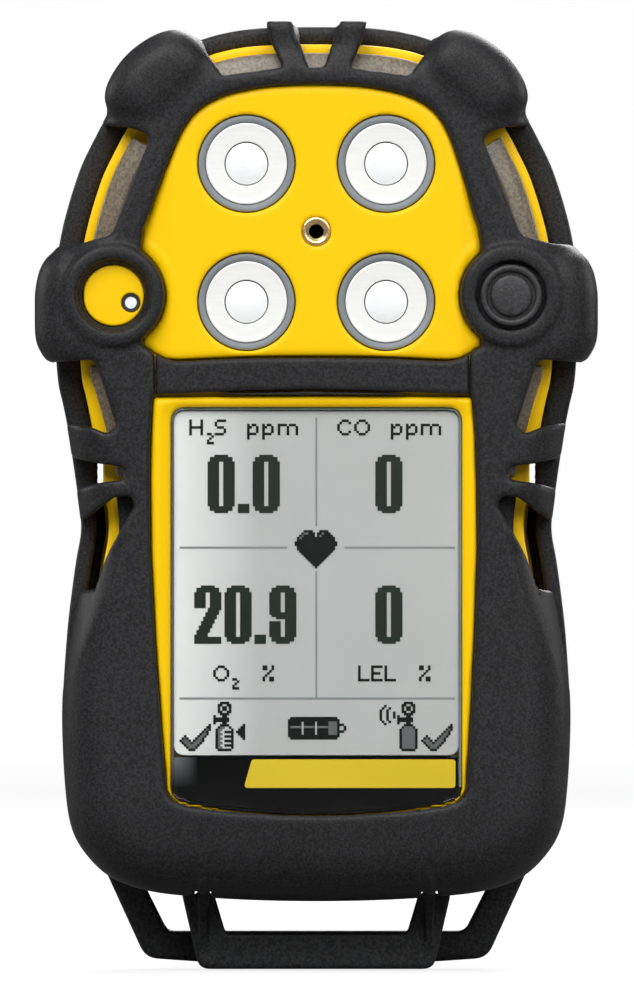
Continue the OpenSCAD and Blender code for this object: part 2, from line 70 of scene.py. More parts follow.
CORNER = [(17.4, 133.0), (19.8, 133.9), (22.2, 133.4), (24.8, 132.0), (27.2, 130.0),
          (29.0, 127.5), (30.0, 125.4), (30.2, 123.6), (29.5, 122), (27.5, 120.9),
          (25.4, 119.9), (23.5, 119.5), (21, 121.3), (17.5, 124.6), (14.1, 128.2),
          (15.4, 130.6)]
BOSS_X, BOSS_Z, BOSS_R = 28.2, 96.0, 7.35
# The boot's front openings sit a little left of the housing's middle
SHIFT = 0.55
PORT_X, KEY_X = -BOSS_X - SHIFT, BOSS_X - SHIFT
VENT_X, VENT_Z = -26.3, 95.0
SENSORS = [(x, z) for x in (-9.9, 9.9) for z in (95.1, 114.7)]
INSERT_Z = 105.1
SHELL_SCREWS = ((21.3, 120.3), (29.3, 84.5), (28.4, 25))
CLIP_SCREWS_Z = (93, 108)
PORT_R, COVER_R, VENT_R, KEY_HOLE_R = 4.45, 4.32, 1.33, 4.95
BAY_X, BAY_FOOT, BAY_TOP = 25.0, 16.5, 79.5  # the battery cover
RIB_X = 16.1  # the latch's two ribs
LATCH_PIN_Y, LATCH_PIN_Z = -9.0, 13.2
# Depths of the main faces, and how far the boot's wall reaches in
BOOT_FACE, RIM_FACE, BOOT_SPLIT, BOOT_BACK = -22.6, -23.4, -12.0, 12.5
SENSOR_FACE, SHELL_RIM, BOOT_WALL = -21.6, -19.8, 3.4


def mirror(half):
    """Closed outline from its right half."""
    return half + [(-x, z) for x, z in reversed(half) if x > 0]


def smooth_loop(points, n=4):
    """A Catmull-Rom curve through a closed loop of points."""
    p = np.array(points, float)
    a, b, c, d = np.roll(p, 1, 0), p, np.roll(p, -1, 0), np.roll(p, -2, 0)
    out = []
    for t in np.arange(n) / n:
        out.append(0.5 * (2 * b + (c - a) * t + (2 * a - 5 * b + 4 * c - d) * t**2
                          + (3 * b - a - 3 * c + d) * t**3))
    return np.stack(out, 1).reshape(-1, 2)


def rounded(points, r, n=6):
    """A polygon with each corner rounded to radius r."""
    p = np.array(points, float)
    out = []
    for a, b, c in zip(np.roll(p, 1, 0), p, np.roll(p, -1, 0)):
        u, v = a - b, c - b
        lu, lv = np.linalg.norm(u), np.linalg.norm(v)
        u, v = u / lu, v / lv
        half = math.acos(float(np.clip(u @ v, -1, 1))) / 2
        if half > 1.5:
            out.append(b)
            continue
        t = min(r / math.tan(half), lu * 0.45, lv * 0.45)
        s, e = b + u * t, b + v * t
        for k in range(n + 1):
            w = k / n
            out.append((1 - w) ** 2 * s + 2 * w * (1 - w) * b + w * w * e)
    return np.array(out)


def loop_normals(loop):
    """Unit normals of a closed loop, all on one side of it."""
    t = np.roll(loop, -1, 0) - np.roll(loop, 1, 0)
    t /= np.maximum(np.linalg.norm(t, axis=1)[:, None], 1e-9)
    return np.stack([t[:, 1], -t[:, 0]], 1)


def inset_loop(loop, d):
    """A loop moved inwards by d."""
    n = loop_normals(loop)
    if ((loop.mean(0) - loop) * n).sum() < 0:
        n = -n
    return loop + n * d


BODY_LOOP = smooth_loop(mirror(BODY))
WINDOW_LOOP = smooth_loop(mirror(SENSOR_WINDOW), 3)
DISPLAY_LOOP = rounded(mirror(DISPLAY_WINDOW), 0.5)
LENS_LOOP = rounded(mirror(LENS), 0.8)
CROSSBAR_LOOP = rounded(mirror(CROSSBAR), 0.3)
CORNER_LOOP = smooth_loop(CORNER, 3)

# Openings in the front boot that reach its edge: points and corner radius
NOTCHES = [
    ([(-1.15, 128.4), (1.15, 128.4), (2.2, 131.7), (3.0, 138), (-3.0, 138),
      (-2.2, 131.7)], 0.5),
    ([(13.3, 127.2), (4.75, 128.3), (6.3, 131.6), (8.2, 138), (18.6, 138),
      (15.4, 130.3)], 0.5),
    ([(23.4, 118.9), (29.0, 104.6), (33.4, 103.4), (46, 102.6), (46, 121.6),
      (27.4, 120.0)], 1.6),
    ([(31.9, 86.9), (31.2, 86.2), (28.4, 77.6), (29.6, 76.4), (31.8, 77.3),
      (46, 80.3), (46, 86.1)], 0.7),
    ([(27.3, 71.7), (27.3, 69.9), (31.1, 69.4), (46, 65.6), (46, 75.6),
      (31.1, 72.2)], 0.8),
    ([(28.6, 67.4), (26.2, 67.6), (25.8, 66.2), (30, 58.7), (31.8, 54.2),
      (46, 53.8), (46, 61.2), (33.4, 63.8)], 0.8),
]

# --- distance fields


def loop_field(X, Z, loop):
    """Signed distance to a closed loop in the X-Z plane, negative inside."""
    d = np.full(np.broadcast(X, Z).shape, 1e9)
    inside = np.zeros(d.shape, bool)
    for (ax, az), (bx, bz) in zip(loop, np.roll(loop, -1, 0)):
        ex, ez = bx - ax, bz - az
        size = ex * ex + ez * ez
        if size < 1e-12:
            continue
        wx, wz = X - ax, Z - az
        t = np.clip((wx * ex + wz * ez) / size, 0, 1)
        d = np.minimum(d, (wx - ex * t) ** 2 + (wz - ez * t) ** 2)
        if abs(ez) > 1e-9:
            cross = ((az <= Z) & (bz > Z)) | ((bz <= Z) & (az > Z))
            inside ^= cross & (X < ex * (Z - az) / ez + ax)
    return np.where(inside, -1, 1) * np.sqrt(d)


def common(*fields):
    """The space inside every field."""
    out = fields[0]
    for f in fields[1:]:
        out = np.maximum(out, f)
    return out


def smin(a, b, k):
    """The union of two fields, blended over a width k."""
    h = np.clip(0.5 + 0.5 * (b - a) / k, 0, 1)
    return b + (a - b) * h - k * h * (1 - h)


def smax(a, b, k):
    """The intersection of two fields, blended over a width k."""
    return -smin(-a, -b, k)


def cut(d, tool, r=0):
    """d without the tool, the new edge blended over a width r."""
    return smax(d, -tool, r) if r else np.maximum(d, -tool)


def corner_join(p, q, r):
    """The inside of both p and q, with the edge between them rounded."""
    p, q = p + r, q + r
    return (np.minimum(np.maximum(p, q), 0)
            + np.hypot(np.maximum(p, 0), np.maximum(q, 0)) - r)


def blur(f, cells):
    """A field on an X-Z grid smoothed by three passes of a box filter."""
    width = 2 * cells + 1
    for axis in (0, 2):
        n = f.shape[axis]
        pad = [(0, 0)] * 3
        pad[axis] = (cells, cells)
        for _ in range(3):
            g = np.pad(f, pad, mode="reflect", reflect_type="odd")
            f = sum(np.take(g, range(k, k + n), axis) for k in range(width)) / width
    return f


def prism(p, Y, y0, y1, r0, r1):
    """A 2D field extruded from y0 to y1, its edges rounded by r0 and r1."""
    return np.maximum(corner_join(p, y0 - Y, r0), corner_join(p, Y - y1, r1))


def box_field(X, Y, Z, x0, x1, y0, y1, z0, z1, r=0.0):
    """A box with edges rounded by r."""
    q = [np.abs(X - (x0 + x1) / 2) - (x1 - x0) / 2 + r,
         np.abs(Y - (y0 + y1) / 2) - (y1 - y0) / 2 + r,
         np.abs(Z - (z0 + z1) / 2) - (z1 - z0) / 2 + r]
    out = np.sqrt(sum(np.maximum(v, 0) ** 2 for v in q))
    return out + np.minimum(common(*q), 0) - r


def sample(f, p):
    """Values of grid f at points p, given in cells."""
    p = np.clip(p, 0, np.array(f.shape) - 1.001)
    i = p.astype(int)
    t = p - i
    out = 0
    for c in np.ndindex(2, 2, 2):
        w = np.prod(np.where(c, t, 1 - t), 1)
        out = out + w * f[tuple((i + c).T)]
    return out


def mesh_field(f, low, h):
    """Points and quads of the surface where grid f is zero."""
    s = f < 0
    n = np.array(f.shape) - 1
    count = np.zeros(n, np.uint8)
    for c in np.ndindex(2, 2, 2):
        count += s[tuple(slice(a, a + m) for a, m in zip(c, n))]
    active = (count > 0) & (count < 8)
    cells = np.argwhere(active)
    ids = np.full(active.shape, -1, np.int64)
    ids[active] = np.arange(len(cells))
    total, hits = np.zeros((len(cells), 3)), np.zeros(len(cells))
    for axis in range(3):
        unit = np.eye(3, dtype=int)[axis]
        for c in np.ndindex(2, 2, 2):
            if c[axis]:
                continue
            a = cells + c
            fa, fb = f[tuple(a.T)], f[tuple((a + unit).T)]
            m = (fa < 0) != (fb < 0)
            t = fa[m] / (fa[m] - fb[m])
            total[m] += np.array(c) + t[:, None] * unit
            hits[m] += 1
    p = cells + total / hits[:, None]
    for _ in range(2):
        v = sample(f, p)
        g = np.stack([sample(f, p + e) - sample(f, p - e)
                      for e in np.eye(3) * 0.5], 1)
        step = -v[:, None] * g / np.maximum((g * g).sum(1), 1e-3)[:, None]
        p = p + np.clip(step, -0.3, 0.3)
    quads = []
    for axis in range(3):
        u, v = (axis + 1) % 3, (axis + 2) % 3
        lo, hi = [slice(1, -1)] * 3, [slice(1, -1)] * 3
        lo[axis], hi[axis] = slice(0, -1), slice(1, None)
        a, b = s[tuple(lo)], s[tuple(hi)]
        e = np.argwhere(a != b)
        start = a[tuple(e.T)]
        e = e + [0 if k == axis else 1 for k in range(3)]
        ring = []
        for du, dv in ((1, 1), (0, 1), (0, 0), (1, 0)):
            c = e.copy()
            c[:, u] -= du
            c[:, v] -= dv
            ring.append(ids[tuple(c.T)])
        q = np.stack(ring, 1)
        q[~start] = q[~start][:, ::-1]
        quads.append(q)
    return np.asarray(low) + p * h, np.concatenate(quads)


# --- pieces


def place(me, mats, nodes, body):
    """A mesh as an object with its materials, body and the nodes it replaces."""
    ob = bpy.data.objects.new(me.name, me)
    bpy.context.scene.collection.objects.link(ob)
    for m in mats:
        me.materials.append(m)
    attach(ob, body)
    if nodes:
        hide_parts(*nodes)
    return ob


def make(name, verts, faces, slot, mats, nodes=(), body="housing", smooth=True,
         index=None):
    """A mesh object from points in millimetres and its faces."""
    me = bpy.data.meshes.new(name)
    faces = [tuple(int(i) for i in f) for f in faces]
    me.from_pydata([tuple(v) for v in np.asarray(verts) * MM], [], faces)
    if index is not None:
        me.polygons.foreach_set("material_index", index)
    me.polygons.foreach_set("use_smooth", [smooth] * len(faces))
    me.update()
    return place(me, mats, nodes, body)


def make_quads(name, verts, quads, mats, nodes, body):
    """As make, for a large mesh of quads."""
    me = bpy.data.meshes.new(name)
    me.vertices.add(len(verts))
    me.vertices.foreach_set("co", (verts * MM).astype(np.float32).ravel())
    me.loops.add(quads.size)
    me.loops.foreach_set("vertex_index", quads.astype(np.int32).ravel())
    me.polygons.add(len(quads))
    me.polygons.foreach_set("loop_start", np.arange(0, quads.size, 4, np.int32))
    me.polygons.foreach_set("use_smooth", np.ones(len(quads), bool))
    me.update(calc_edges=True)
    me.validate()
    return place(me, mats, nodes, body)


def from_field(name, shape, low, high, h, mats, nodes, body="housing"):
    """A piece whose surface is where shape(X, Y, Z) is zero."""
    axes = [np.arange(a, b + h, h) for a, b in zip(low, high)]
    f = np.ascontiguousarray(np.broadcast_to(
        shape(*np.ix_(*axes)), [len(a) for a in axes])).astype(np.float32)
    for k in range(3):  # closed at the grid's edges
        for end in (0, -1):
            side = [slice(None)] * 3
            side[k] = end
            f[tuple(side)] = np.maximum(f[tuple(side)], 0.05)
    verts, quads = mesh_field(f, low, h)
    return make_quads(name, verts, quads, mats, nodes, body)


def lathe(profile, x, z, segs=72):
    """Points and faces of a closed (radius, y) profile turned about Y."""
    verts, faces = [], []
    n = len(profile)
    for k in range(segs):
        a = 2 * math.pi * k / segs
        for r, y in profile:
            verts.append((x + r * math.cos(a), y, z + r * math.sin(a)))
    for k in range(segs):
        m = (k + 1) % segs
        for i in range(n):
            j = (i + 1) % n
            if profile[i][0] < 1e-6 and profile[j][0] < 1e-6:
                continue
            faces.append((k * n + i, k * n + j, m * n + j, m * n + i))
    return verts, faces


def join(parts):
    """Several (verts, faces) as one."""
    verts, faces = [], []
    for v, f in parts:
        base = len(verts)
        verts += list(v)
        faces += [tuple(i + base for i in q) for q in f]
    return verts, faces


def clean(ob):
    """Merges doubled points and turns all normals outwards."""
    bm = bmesh.new()
    bm.from_mesh(ob.data)
    bmesh.ops.remove_doubles(bm, verts=bm.verts, dist=1e-6)
    bmesh.ops.dissolve_degenerate(bm, edges=bm.edges, dist=1e-7)
    bmesh.ops.recalc_face_normals(bm, faces=bm.faces)
    bm.to_mesh(ob.data)
    bm.free()
    return ob


def soften(ob, width, angle=35, segments=2):
    """Rounds the edges sharper than an angle."""
    b = ob.modifiers.new("edges", "BEVEL")
    b.width, b.segments = width * MM, segments
    b.limit_method, b.angle_limit = "ANGLE", math.radians(angle)
    return ob


def sharp(ob, angle=40):
    """Smooth shading, but for the edges sharper than an angle."""
    ob.data.shade_smooth()
    ob.data.set_sharp_from_angle(angle=math.radians(angle))
    return ob


def slab(loop, y0, y1):
    """Points and faces of an X-Z loop extruded between two Y planes."""
    n = len(loop)
    verts = [(x, y0, z) for x, z in loop] + [(x, y1, z) for x, z in loop]
    faces = [tuple(range(n)), tuple(range(2 * n - 1, n - 1, -1))]
    faces += [(i, i + n, (i + 1) % n + n, (i + 1) % n) for i in range(n)]
    return verts, faces


def box(x0, x1, y0, y1, z0, z1):
    """Points and faces of a box."""
    verts = [(x, y, z) for x in (x0, x1) for y in (y0, y1) for z in (z0, z1)]
    faces = [(0, 1, 3, 2), (4, 6, 7, 5), (0, 4, 5, 1), (2, 3, 7, 6),
             (0, 2, 6, 4), (1, 5, 7, 3)]
    return verts, faces


def tube(path, r, sides=12):
    """Points and faces of a round tube along a path."""
    p = np.array(path, float)
    n = len(p)
    t = np.gradient(p, axis=0)
    t /= np.linalg.norm(t, axis=1)[:, None]
    up = np.array([0.0, 0.3, 1.0])
    if abs(t[0] @ up) > 0.95:
        up = np.array([1.0, 0, 0])
    verts, faces = [], []
    u = np.cross(t[0], up)
    for i in range(n):
        u = u - t[i] * (u @ t[i])
        u /= np.linalg.norm(u)
        v = np.cross(t[i], u)
        for k in range(sides):
            a = 2 * math.pi * k / sides
            verts.append(p[i] + r * (math.cos(a) * u + math.sin(a) * v))
    for i in range(n - 1):
        for k in range(sides):
            m = (k + 1) % sides
            faces.append((i * sides + k, i * sides + m, (i + 1) * sides + m,
                          (i + 1) * sides + k))
    faces.append(tuple(range(sides - 1, -1, -1)))
    faces.append(tuple(range((n - 1) * sides, n * sides)))
    return verts, faces


# --- materials


def linear(*srgb):
    """A colour of three values from 0 to 255, as Blender's nodes take it."""
    out = []
    for c in srgb:
        c /= 255
        out.append(c / 12.92 if c < 0.04045 else ((c + 0.055) / 1.055) ** 2.4)
    return (*out, 1)


class Nodes:
    """A material under construction and the nodes it is wired from."""

    def __init__(self, name):
        self.mat = bpy.data.materials.new(name)
        self.mat.use_nodes = True
        self.t = self.mat.node_tree
        self.bsdf = self.t.nodes["Principled BSDF"]
        self.coord = self.t.nodes.new("ShaderNodeTexCoord").outputs["Object"]

    def add(self, kind, **values):
        n = self.t.nodes.new(kind)
        for k, v in values.items():
            if k in n.inputs.keys():
                self.feed(n.inputs[k], v)
            else:
                setattr(n, k, v)
        return n

    def feed(self, socket, value):
        """Links a node's output to an input, or sets the input to a value."""
        if hasattr(value, "is_output"):
            self.t.links.new(value, socket)
        else:
            socket.default_value = value

    def noise(self, scale, detail=2.0, rough=0.5, stretch=None):
        vec = self.coord
        if stretch:
            vec = self.add("ShaderNodeMapping", Vector=vec, Scale=stretch).outputs[0]
        return self.add("ShaderNodeTexNoise", Vector=vec, Scale=scale,
                        Detail=detail, Roughness=rough).outputs["Fac"]

    def ramp(self, fac, low, high, a, b):
        """From a to b while fac goes from low to high."""
        return self.add("ShaderNodeMapRange", **{
            "Value": fac, "From Min": low, "From Max": high, "To Min": a,
            "To Max": b}).outputs[0]

    def mix(self, fac, a, b):
        m = self.t.nodes.new("ShaderNodeMix")
        m.data_type = "RGBA"
        for k, v in ((0, fac), (6, a), (7, b)):
            self.feed(m.inputs[k], v)
        return m.outputs[2]

    def math(self, operation, a, b):
        m = self.add("ShaderNodeMath", operation=operation)
        self.feed(m.inputs[0], a)
        self.feed(m.inputs[1], b)
        return m.outputs[0]

    def set(self, socket, value):
        self.feed(self.bsdf.inputs[socket], value)

    def bump(self, height, strength, distance, normal=None):
        b = self.add("ShaderNodeBump", Height=height, Strength=strength,
                     Distance=distance * MM)
        if normal is not None:
            self.t.links.new(normal, b.inputs["Normal"])
        return b.outputs[0]


def plastic(name, low, high, rough, grain=0.25, grain_h=0.02, broad=60,
            spec=0.5, rough_var=0.06, speckle=0.0):
    """Moulded plastic or rubber: two close colours in broad soft patches, a
    fine moulded grain and uneven gloss. grain is its pitch in millimetres."""
    m = Nodes(name)
    low, high = linear(*low), linear(*high)
    patch = m.noise(broad, 3)
    fine = m.noise(1000 / grain, 2, 0.6)
    col = m.mix(m.ramp(patch, 0.3, 0.7, 0, 1), low, high)
    if speckle:
        dark = tuple(c * (1 - speckle) for c in low[:3]) + (1,)
        pale = tuple(min(c * (1 + speckle), 1) for c in high[:3]) + (1,)
        grit = m.mix(m.ramp(fine, 0.4, 0.62, 0, 1), dark, pale)
        col = m.mix(0.6, col, grit)
    m.set("Base Color", col)
    m.set("Roughness", m.ramp(patch, 0.3, 0.7, rough - rough_var,
                              rough + rough_var))
    m.set("Specular IOR Level", spec)
    if grain_h:
        m.set("Normal", m.bump(fine, 1.0, grain_h))
    return m.mat


def brushed(name, low, high, rough, stretch=(30, 400, 900), metallic=1.0):
    """Metal with fine straight scratches, drawn out as stretch says."""
    m = Nodes(name)
    lines = m.noise(6, 4, 0.7, stretch)
    patch = m.noise(120, 2)
    m.set("Base Color", m.mix(lines, linear(*low), linear(*high)))
    m.set("Metallic", metallic)
    m.set("Roughness", m.ramp(lines, 0.3, 0.7, rough - 0.06, rough + 0.08))
    m.set("Normal", m.bump(lines, 0.25, 0.01,
                           m.bump(patch, 0.2, 0.02)))
    return m.mat


RUBBER = plastic("boot_rubber", (29, 29, 31), (35, 35, 37), 0.5, grain=0.33,
                 grain_h=0.03, spec=0.28, speckle=0.8)
REAR_RUBBER = plastic("rear_rubber", (29, 29, 31), (35, 35, 37), 0.52, grain=0.4,
                      grain_h=0.04, spec=0.28, speckle=0.9)
KEY_RUBBER = plastic("button_rubber", (42, 42, 44), (48, 48, 50), 0.5, grain=0.4,
                     grain_h=0.05, spec=0.5, speckle=0.6)
YELLOW = plastic("yellow_shell", (255, 207, 0), (255, 204, 0), 0.4, grain=0.4,
                 grain_h=0.006, rough_var=0.04, spec=0.2)
BLACK = plastic("black_plastic", (28, 29, 31), (36, 37, 39), 0.5, grain=0.45,
                grain_h=0.05, spec=0.3, speckle=0.9)
GASKET = plastic("gasket_grey", (118, 124, 128), (140, 146, 150), 0.55, grain=0.2,
                 grain_h=0.02)
SEAL = plastic("seal_black", (24, 24, 26), (32, 32, 34), 0.6)
CAPS = brushed("sensor_cap_metal", (238, 238, 235), (252, 252, 250), 0.36,
               (20, 300, 500), 0.1)
STEEL = brushed("steel", (150, 152, 156), (205, 207, 210), 0.32)
SPRING = brushed("spring_steel", (120, 122, 126), (190, 192, 196), 0.28)
BRASS = brushed("brass_insert", (222, 186, 120), (246, 222, 172), 0.3)
GOLD = brushed("contact_gold", (214, 168, 80), (240, 204, 120), 0.25)
WHITE = plastic("white_plastic", (225, 225, 220), (236, 236, 232), 0.5)
MEMBRANE = plastic("gas_membrane", (246, 249, 250), (252, 254, 254), 0.3,
                   grain=0.15, grain_h=0.006, broad=300)
BOARD = plastic("circuit_board", (18, 84, 48), (26, 100, 58), 0.4, grain=0.5,
                grain_h=0.01)
CHIP = plastic("chip_black", (26, 26, 28), (36, 36, 38), 0.55)


def label_material():
    """Glossy black strip with a painted reflection: a paler patch at its left end."""
    m = Nodes("label_black")
    sep = m.add("ShaderNodeSeparateXYZ", Vector=m.coord)
    # painted reflection: pale at the strip's left end and upper edge, fading out to the
    # right and downwards
    across = m.ramp(sep.outputs[0], -0.0196, -0.0168, 1, 0)
    down = m.ramp(sep.outputs[2], 0.0262, 0.0302, 0, 1)
    glow = m.math("MULTIPLY", across, down)
    soft = m.mix(m.noise(60, 2), linear(5, 5, 6), linear(9, 9, 10))
    m.set("Base Color", m.mix(glow, soft, linear(104, 107, 110)))
    m.set("Roughness", m.ramp(m.noise(90, 3), 0.3, 0.7, 0.18, 0.24))
    m.set("Specular IOR Level", 0.15)
    return m.mat


LABEL = label_material()
BAND = plastic("label_yellow", (226, 196, 40), (234, 204, 52), 0.2, grain_h=0,
               rough_var=0.03)
LED = plastic("led_red", (196, 40, 26), (214, 60, 40), 0.25, grain_h=0)
CELL = plastic("cell_wrap", (44, 60, 92), (58, 76, 110), 0.3)
FILTER = plastic("dark_filter", (34, 6, 10), (44, 10, 14), 0.12, grain_h=0)
WEIGHT = brushed("weight_metal", (112, 104, 92), (140, 130, 116), 0.4)
INK = plastic("display_ink", (38, 47, 42), (45, 55, 49), 0.5, grain_h=0, spec=0.2)
INK_DARK = plastic("display_dark_ink", (16, 21, 18), (22, 28, 24), 0.5, grain_h=0,
                   spec=0.2)
INK_GREY = plastic("display_grey_ink", (104, 108, 108), (116, 120, 120), 0.5,
                   grain_h=0)
INK_LINE = plastic("display_line_ink", (136, 141, 142), (146, 150, 151), 0.5,
                   grain_h=0)


def display_material():
    """Light grey screen with a faint cell grid, and a painted highlight: paler towards its
    left.
    """
    m = Nodes("display_screen")
    sep = m.add("ShaderNodeSeparateXYZ", Vector=m.coord)
    # painted highlight: the screen's colour grows paler towards its left end
    left = m.ramp(sep.outputs[0], -0.0205, -0.008, 1, 0)
    grey = m.mix(m.ramp(m.noise(40, 2), 0.3, 0.7, 0, 1), linear(191, 192, 191),
                 linear(197, 198, 197))
    m.set("Base Color", m.mix(left, grey, linear(243, 245, 244)))
    m.set("Roughness", 0.45)
    m.set("Normal", m.bump(m.noise(3000, 1), 0.1, 0.005))
    return m.mat


def frosted(name, low, high):
    """Frosted smoke-brown light guide with a gritty surface."""
    m = Nodes(name)
    fine = m.noise(2400, 3, 0.7)
    m.set("Base Color", m.mix(m.ramp(fine, 0.35, 0.65, 0, 1), linear(*low),
                              linear(*high)))
    m.set("Roughness", 0.38)
    m.set("Subsurface Weight", 0.25)
    m.set("Subsurface Radius", (0.0015, 0.0012, 0.001))
    m.set("Subsurface Scale", 1.0)
    m.set("Coat Weight", 0.25)
    m.set("Coat Roughness", 0.2)
    m.set("Normal", m.bump(fine, 0.5, 0.03))
    return m.mat


def lens_material():
    """Clear window: almost all light passes, with a clear gloss on top."""
    m = Nodes("lens_clear")
    m.t.nodes.remove(m.bsdf)
    clear = m.add("ShaderNodeBsdfTransparent", Color=(0.99, 0.995, 0.993, 1))
    gloss = m.add("ShaderNodeBsdfGlossy", Roughness=0.04)
    edge_on = m.add("ShaderNodeLayerWeight", Blend=0.5).outputs["Facing"]
    smear = m.ramp(m.noise(90, 3), 0.3, 0.7, 0.02, 0.03)
    mix = m.t.nodes.new("ShaderNodeMixShader")
    m.t.links.new(m.math("ADD", m.math("POWER", edge_on, 5.0), smear), mix.inputs[0])
    m.t.links.new(clear.outputs[0], mix.inputs[1])
    m.t.links.new(gloss.outputs[0], mix.inputs[2])
    out = m.t.nodes["Material Output"]
    m.t.links.new(mix.outputs[0], out.inputs[0])
    return m.mat


SCREEN = display_material()
BAR = frosted("light_bar_frost", (84, 72, 56), (132, 118, 98))
LENS_MAT = lens_material()
LENS_EDGE = plastic("lens_edge", (112, 134, 126), (136, 158, 150), 0.18,
                    grain_h=0)

# --- front boot


SIDE_BUMPER = [(28, 102.8), (36.6, 102.9), (38.6, 101.2), (39.5, 99.3),
               (40, 96.5), (40, 91), (39.8, 89.2), (38.8, 87.3),
               (37.2, 85.6), (35.3, 84.4), (28, 84.4)]


def bosses(X, Z):
    """Distance outside the rims round the sounder port and the button."""
    return np.minimum(np.hypot(X - PORT_X, Z - BOSS_Z),
                      np.hypot(X - KEY_X, Z - BOSS_Z)) - BOSS_R


def window_fields(X, Z):
    """The boot's sensor, display and crossbar openings."""
    x = X + np.interp(Z, (27, 105, 126), (0, 0.74, 0))  # a little to the left
    return (np.maximum(loop_field(x, Z, WINDOW_LOOP), -bosses(X, Z)),
            loop_field(x, Z, DISPLAY_LOOP), loop_field(x, Z, CROSSBAR_LOOP))


def lift(Z):
    """How much nearer to the edge the housing lies round the top."""
    return 0.85 * np.clip((Z - 121) / 6, 0, 1)


def notch_field(X, Z):
    """The openings that reach the boot's edge."""
    out = np.inf
    for points, r in NOTCHES:
        out = np.minimum(out, loop_field(np.abs(X), Z, rounded(points, r)))
    return out


def crease_field(X, Z):
    """How far outside the crease line of the lower body a point lies."""
    line = np.array([(25.6, 66.6), (27.3, 60.2), (29.6, 54.5), (32.2, 48.6),
                     (34.0, 44.4), (35.6, 40.0), (60, 36), (60, 66.6)])
    return loop_field(np.abs(X), Z, line)


def gap_field(X, Y, Z):
    """The slit between boot and housing inside the small side slot, which
    fans out with depth so that it can be seen through from the front."""
    tooth = 0.4 * np.abs(((Z / 1.1) % 1) * 2 - 1)
    x = np.abs(X) - 0.013 * (Y + 20)
    return common(30.25 - x, x - 31.25 + tooth, 69.0 - Z, Z - 72.6)


def rib_box(X, Y, Z, half, y0, y1, z0, z1, r=0.0):
    """A box round the middle plane of each latch rib."""
    return box_field(np.abs(X) - RIB_X, Y, Z, -half, half, y0, y1, z0, z1, r)


def front_boot(X, Y, Z):
    """The rubber frame round the front, with its cushions, bosses and strap."""
    aX = np.abs(X)
    body = loop_field(X, Z, BODY_LOOP)
    corner = blur(loop_field(aX, Z, CORNER_LOOP), 2)
    side = blur(loop_field(aX, Z, rounded(SIDE_BUMPER, 1.5)), 1)
    # the front tucks in below the display, past a crease on each side
    tuck = 2.0 * np.clip((26 - Z) / 16, 0, 1) ** 2
    front = prism(blur(body, 1), Y - tuck, BOOT_FACE, 3.2, 7.0, 0.5)
    crease = crease_field(X, Z)
    fade = np.clip((Z - 38) / 16, 0, 1) * np.clip((62 - Z) / 3, 0, 1)
    front = front + 1.2 * np.clip(0.15 - crease / 2.2, 0, 1) * fade
    strap = common(np.abs(aX - 4.9 - 0.12 * (Z - 131)) - 2.0, 128 - Z, Z - 134.95)
    strap = prism(strap, Y, -21.6, -9, 0.8, 1.0)
    bump = smin(prism(corner, Y, RIM_FACE, 3, 4.2, 2.0),
                prism(side, Y, -22.95, 3, 5.0, 2.0), 0.6)
    d = smin(smin(front, bump, 1.1), strap, 0.45)
    d = smin(d, prism(bosses(X, Z), Y, RIM_FACE, BOOT_SPLIT, 0.8, 0.5), 0.35)
    # fins above the latch ribs
    fin = np.abs(aX - RIB_X) - 0.18 * (14.3 - Z)
    d = smin(d, common(fin, front - 0.5, 9.9 - Z), 0.5)
    # room for the rear boot and the housing
    d = cut(d, common(body - 0.1, -12.1 - Y), 0.3)
    d = cut(d, common(body + BOOT_WALL - lift(Z), -19.9 - Y))
    d = cut(d, notch_field(X, Z), 0.6)
    # a ledge of the boot closes the inner end of each lower opening
    ledge = common(body + 5.5, 53 - Z, Z - 67.8, 24 - aX, np.abs(Y + 17.9) - 0.7)
    d = np.minimum(d, ledge)
    window, screen, bar = window_fields(X, Z)
    d = cut(d, window, 0.7)
    d = cut(d, screen, 0.7)
    d = cut(d, bar - 0.12, 0.35)
    # sounder port on the left, button on the right
    step = 0.75 * np.clip((-21.8 - Y) / 0.25, 0, 1)
    port = np.hypot(X - PORT_X, Z - BOSS_Z) - (PORT_R + step)
    d = cut(d, port, 0.3)
    d = cut(d, np.hypot(X - KEY_X, Z - BOSS_Z) - KEY_HOLE_R, 0.3)
    d = cut(d, rib_box(X, Y, Z, 1.15, -17.2, 0, 0, 16.4), 0.2)
    return cut(d, rib_box(X, Y, Z, 4.4, -13, 0, 0, 15.7), 0.2)


from_field("front_boot_skin", front_boot, (-40.6, -24.1, 9.2),
           (40.6, 3.6, 135.6), 0.45, [RUBBER], ["front_boot"])


def crossbar(X, Y, Z):
    """The bar between the sensor face and the display."""
    return prism(window_fields(X, Z)[2] + 0.05, Y, BOOT_FACE, -19.9, 0.55, 0.2)


from_field("display_crossbar_skin", crossbar, (-23.4, -23.1, 81.3),
           (22.9, -19.5, 88.5), 0.22, [RUBBER],
           ["display_crossbar"])

# --- rear boot


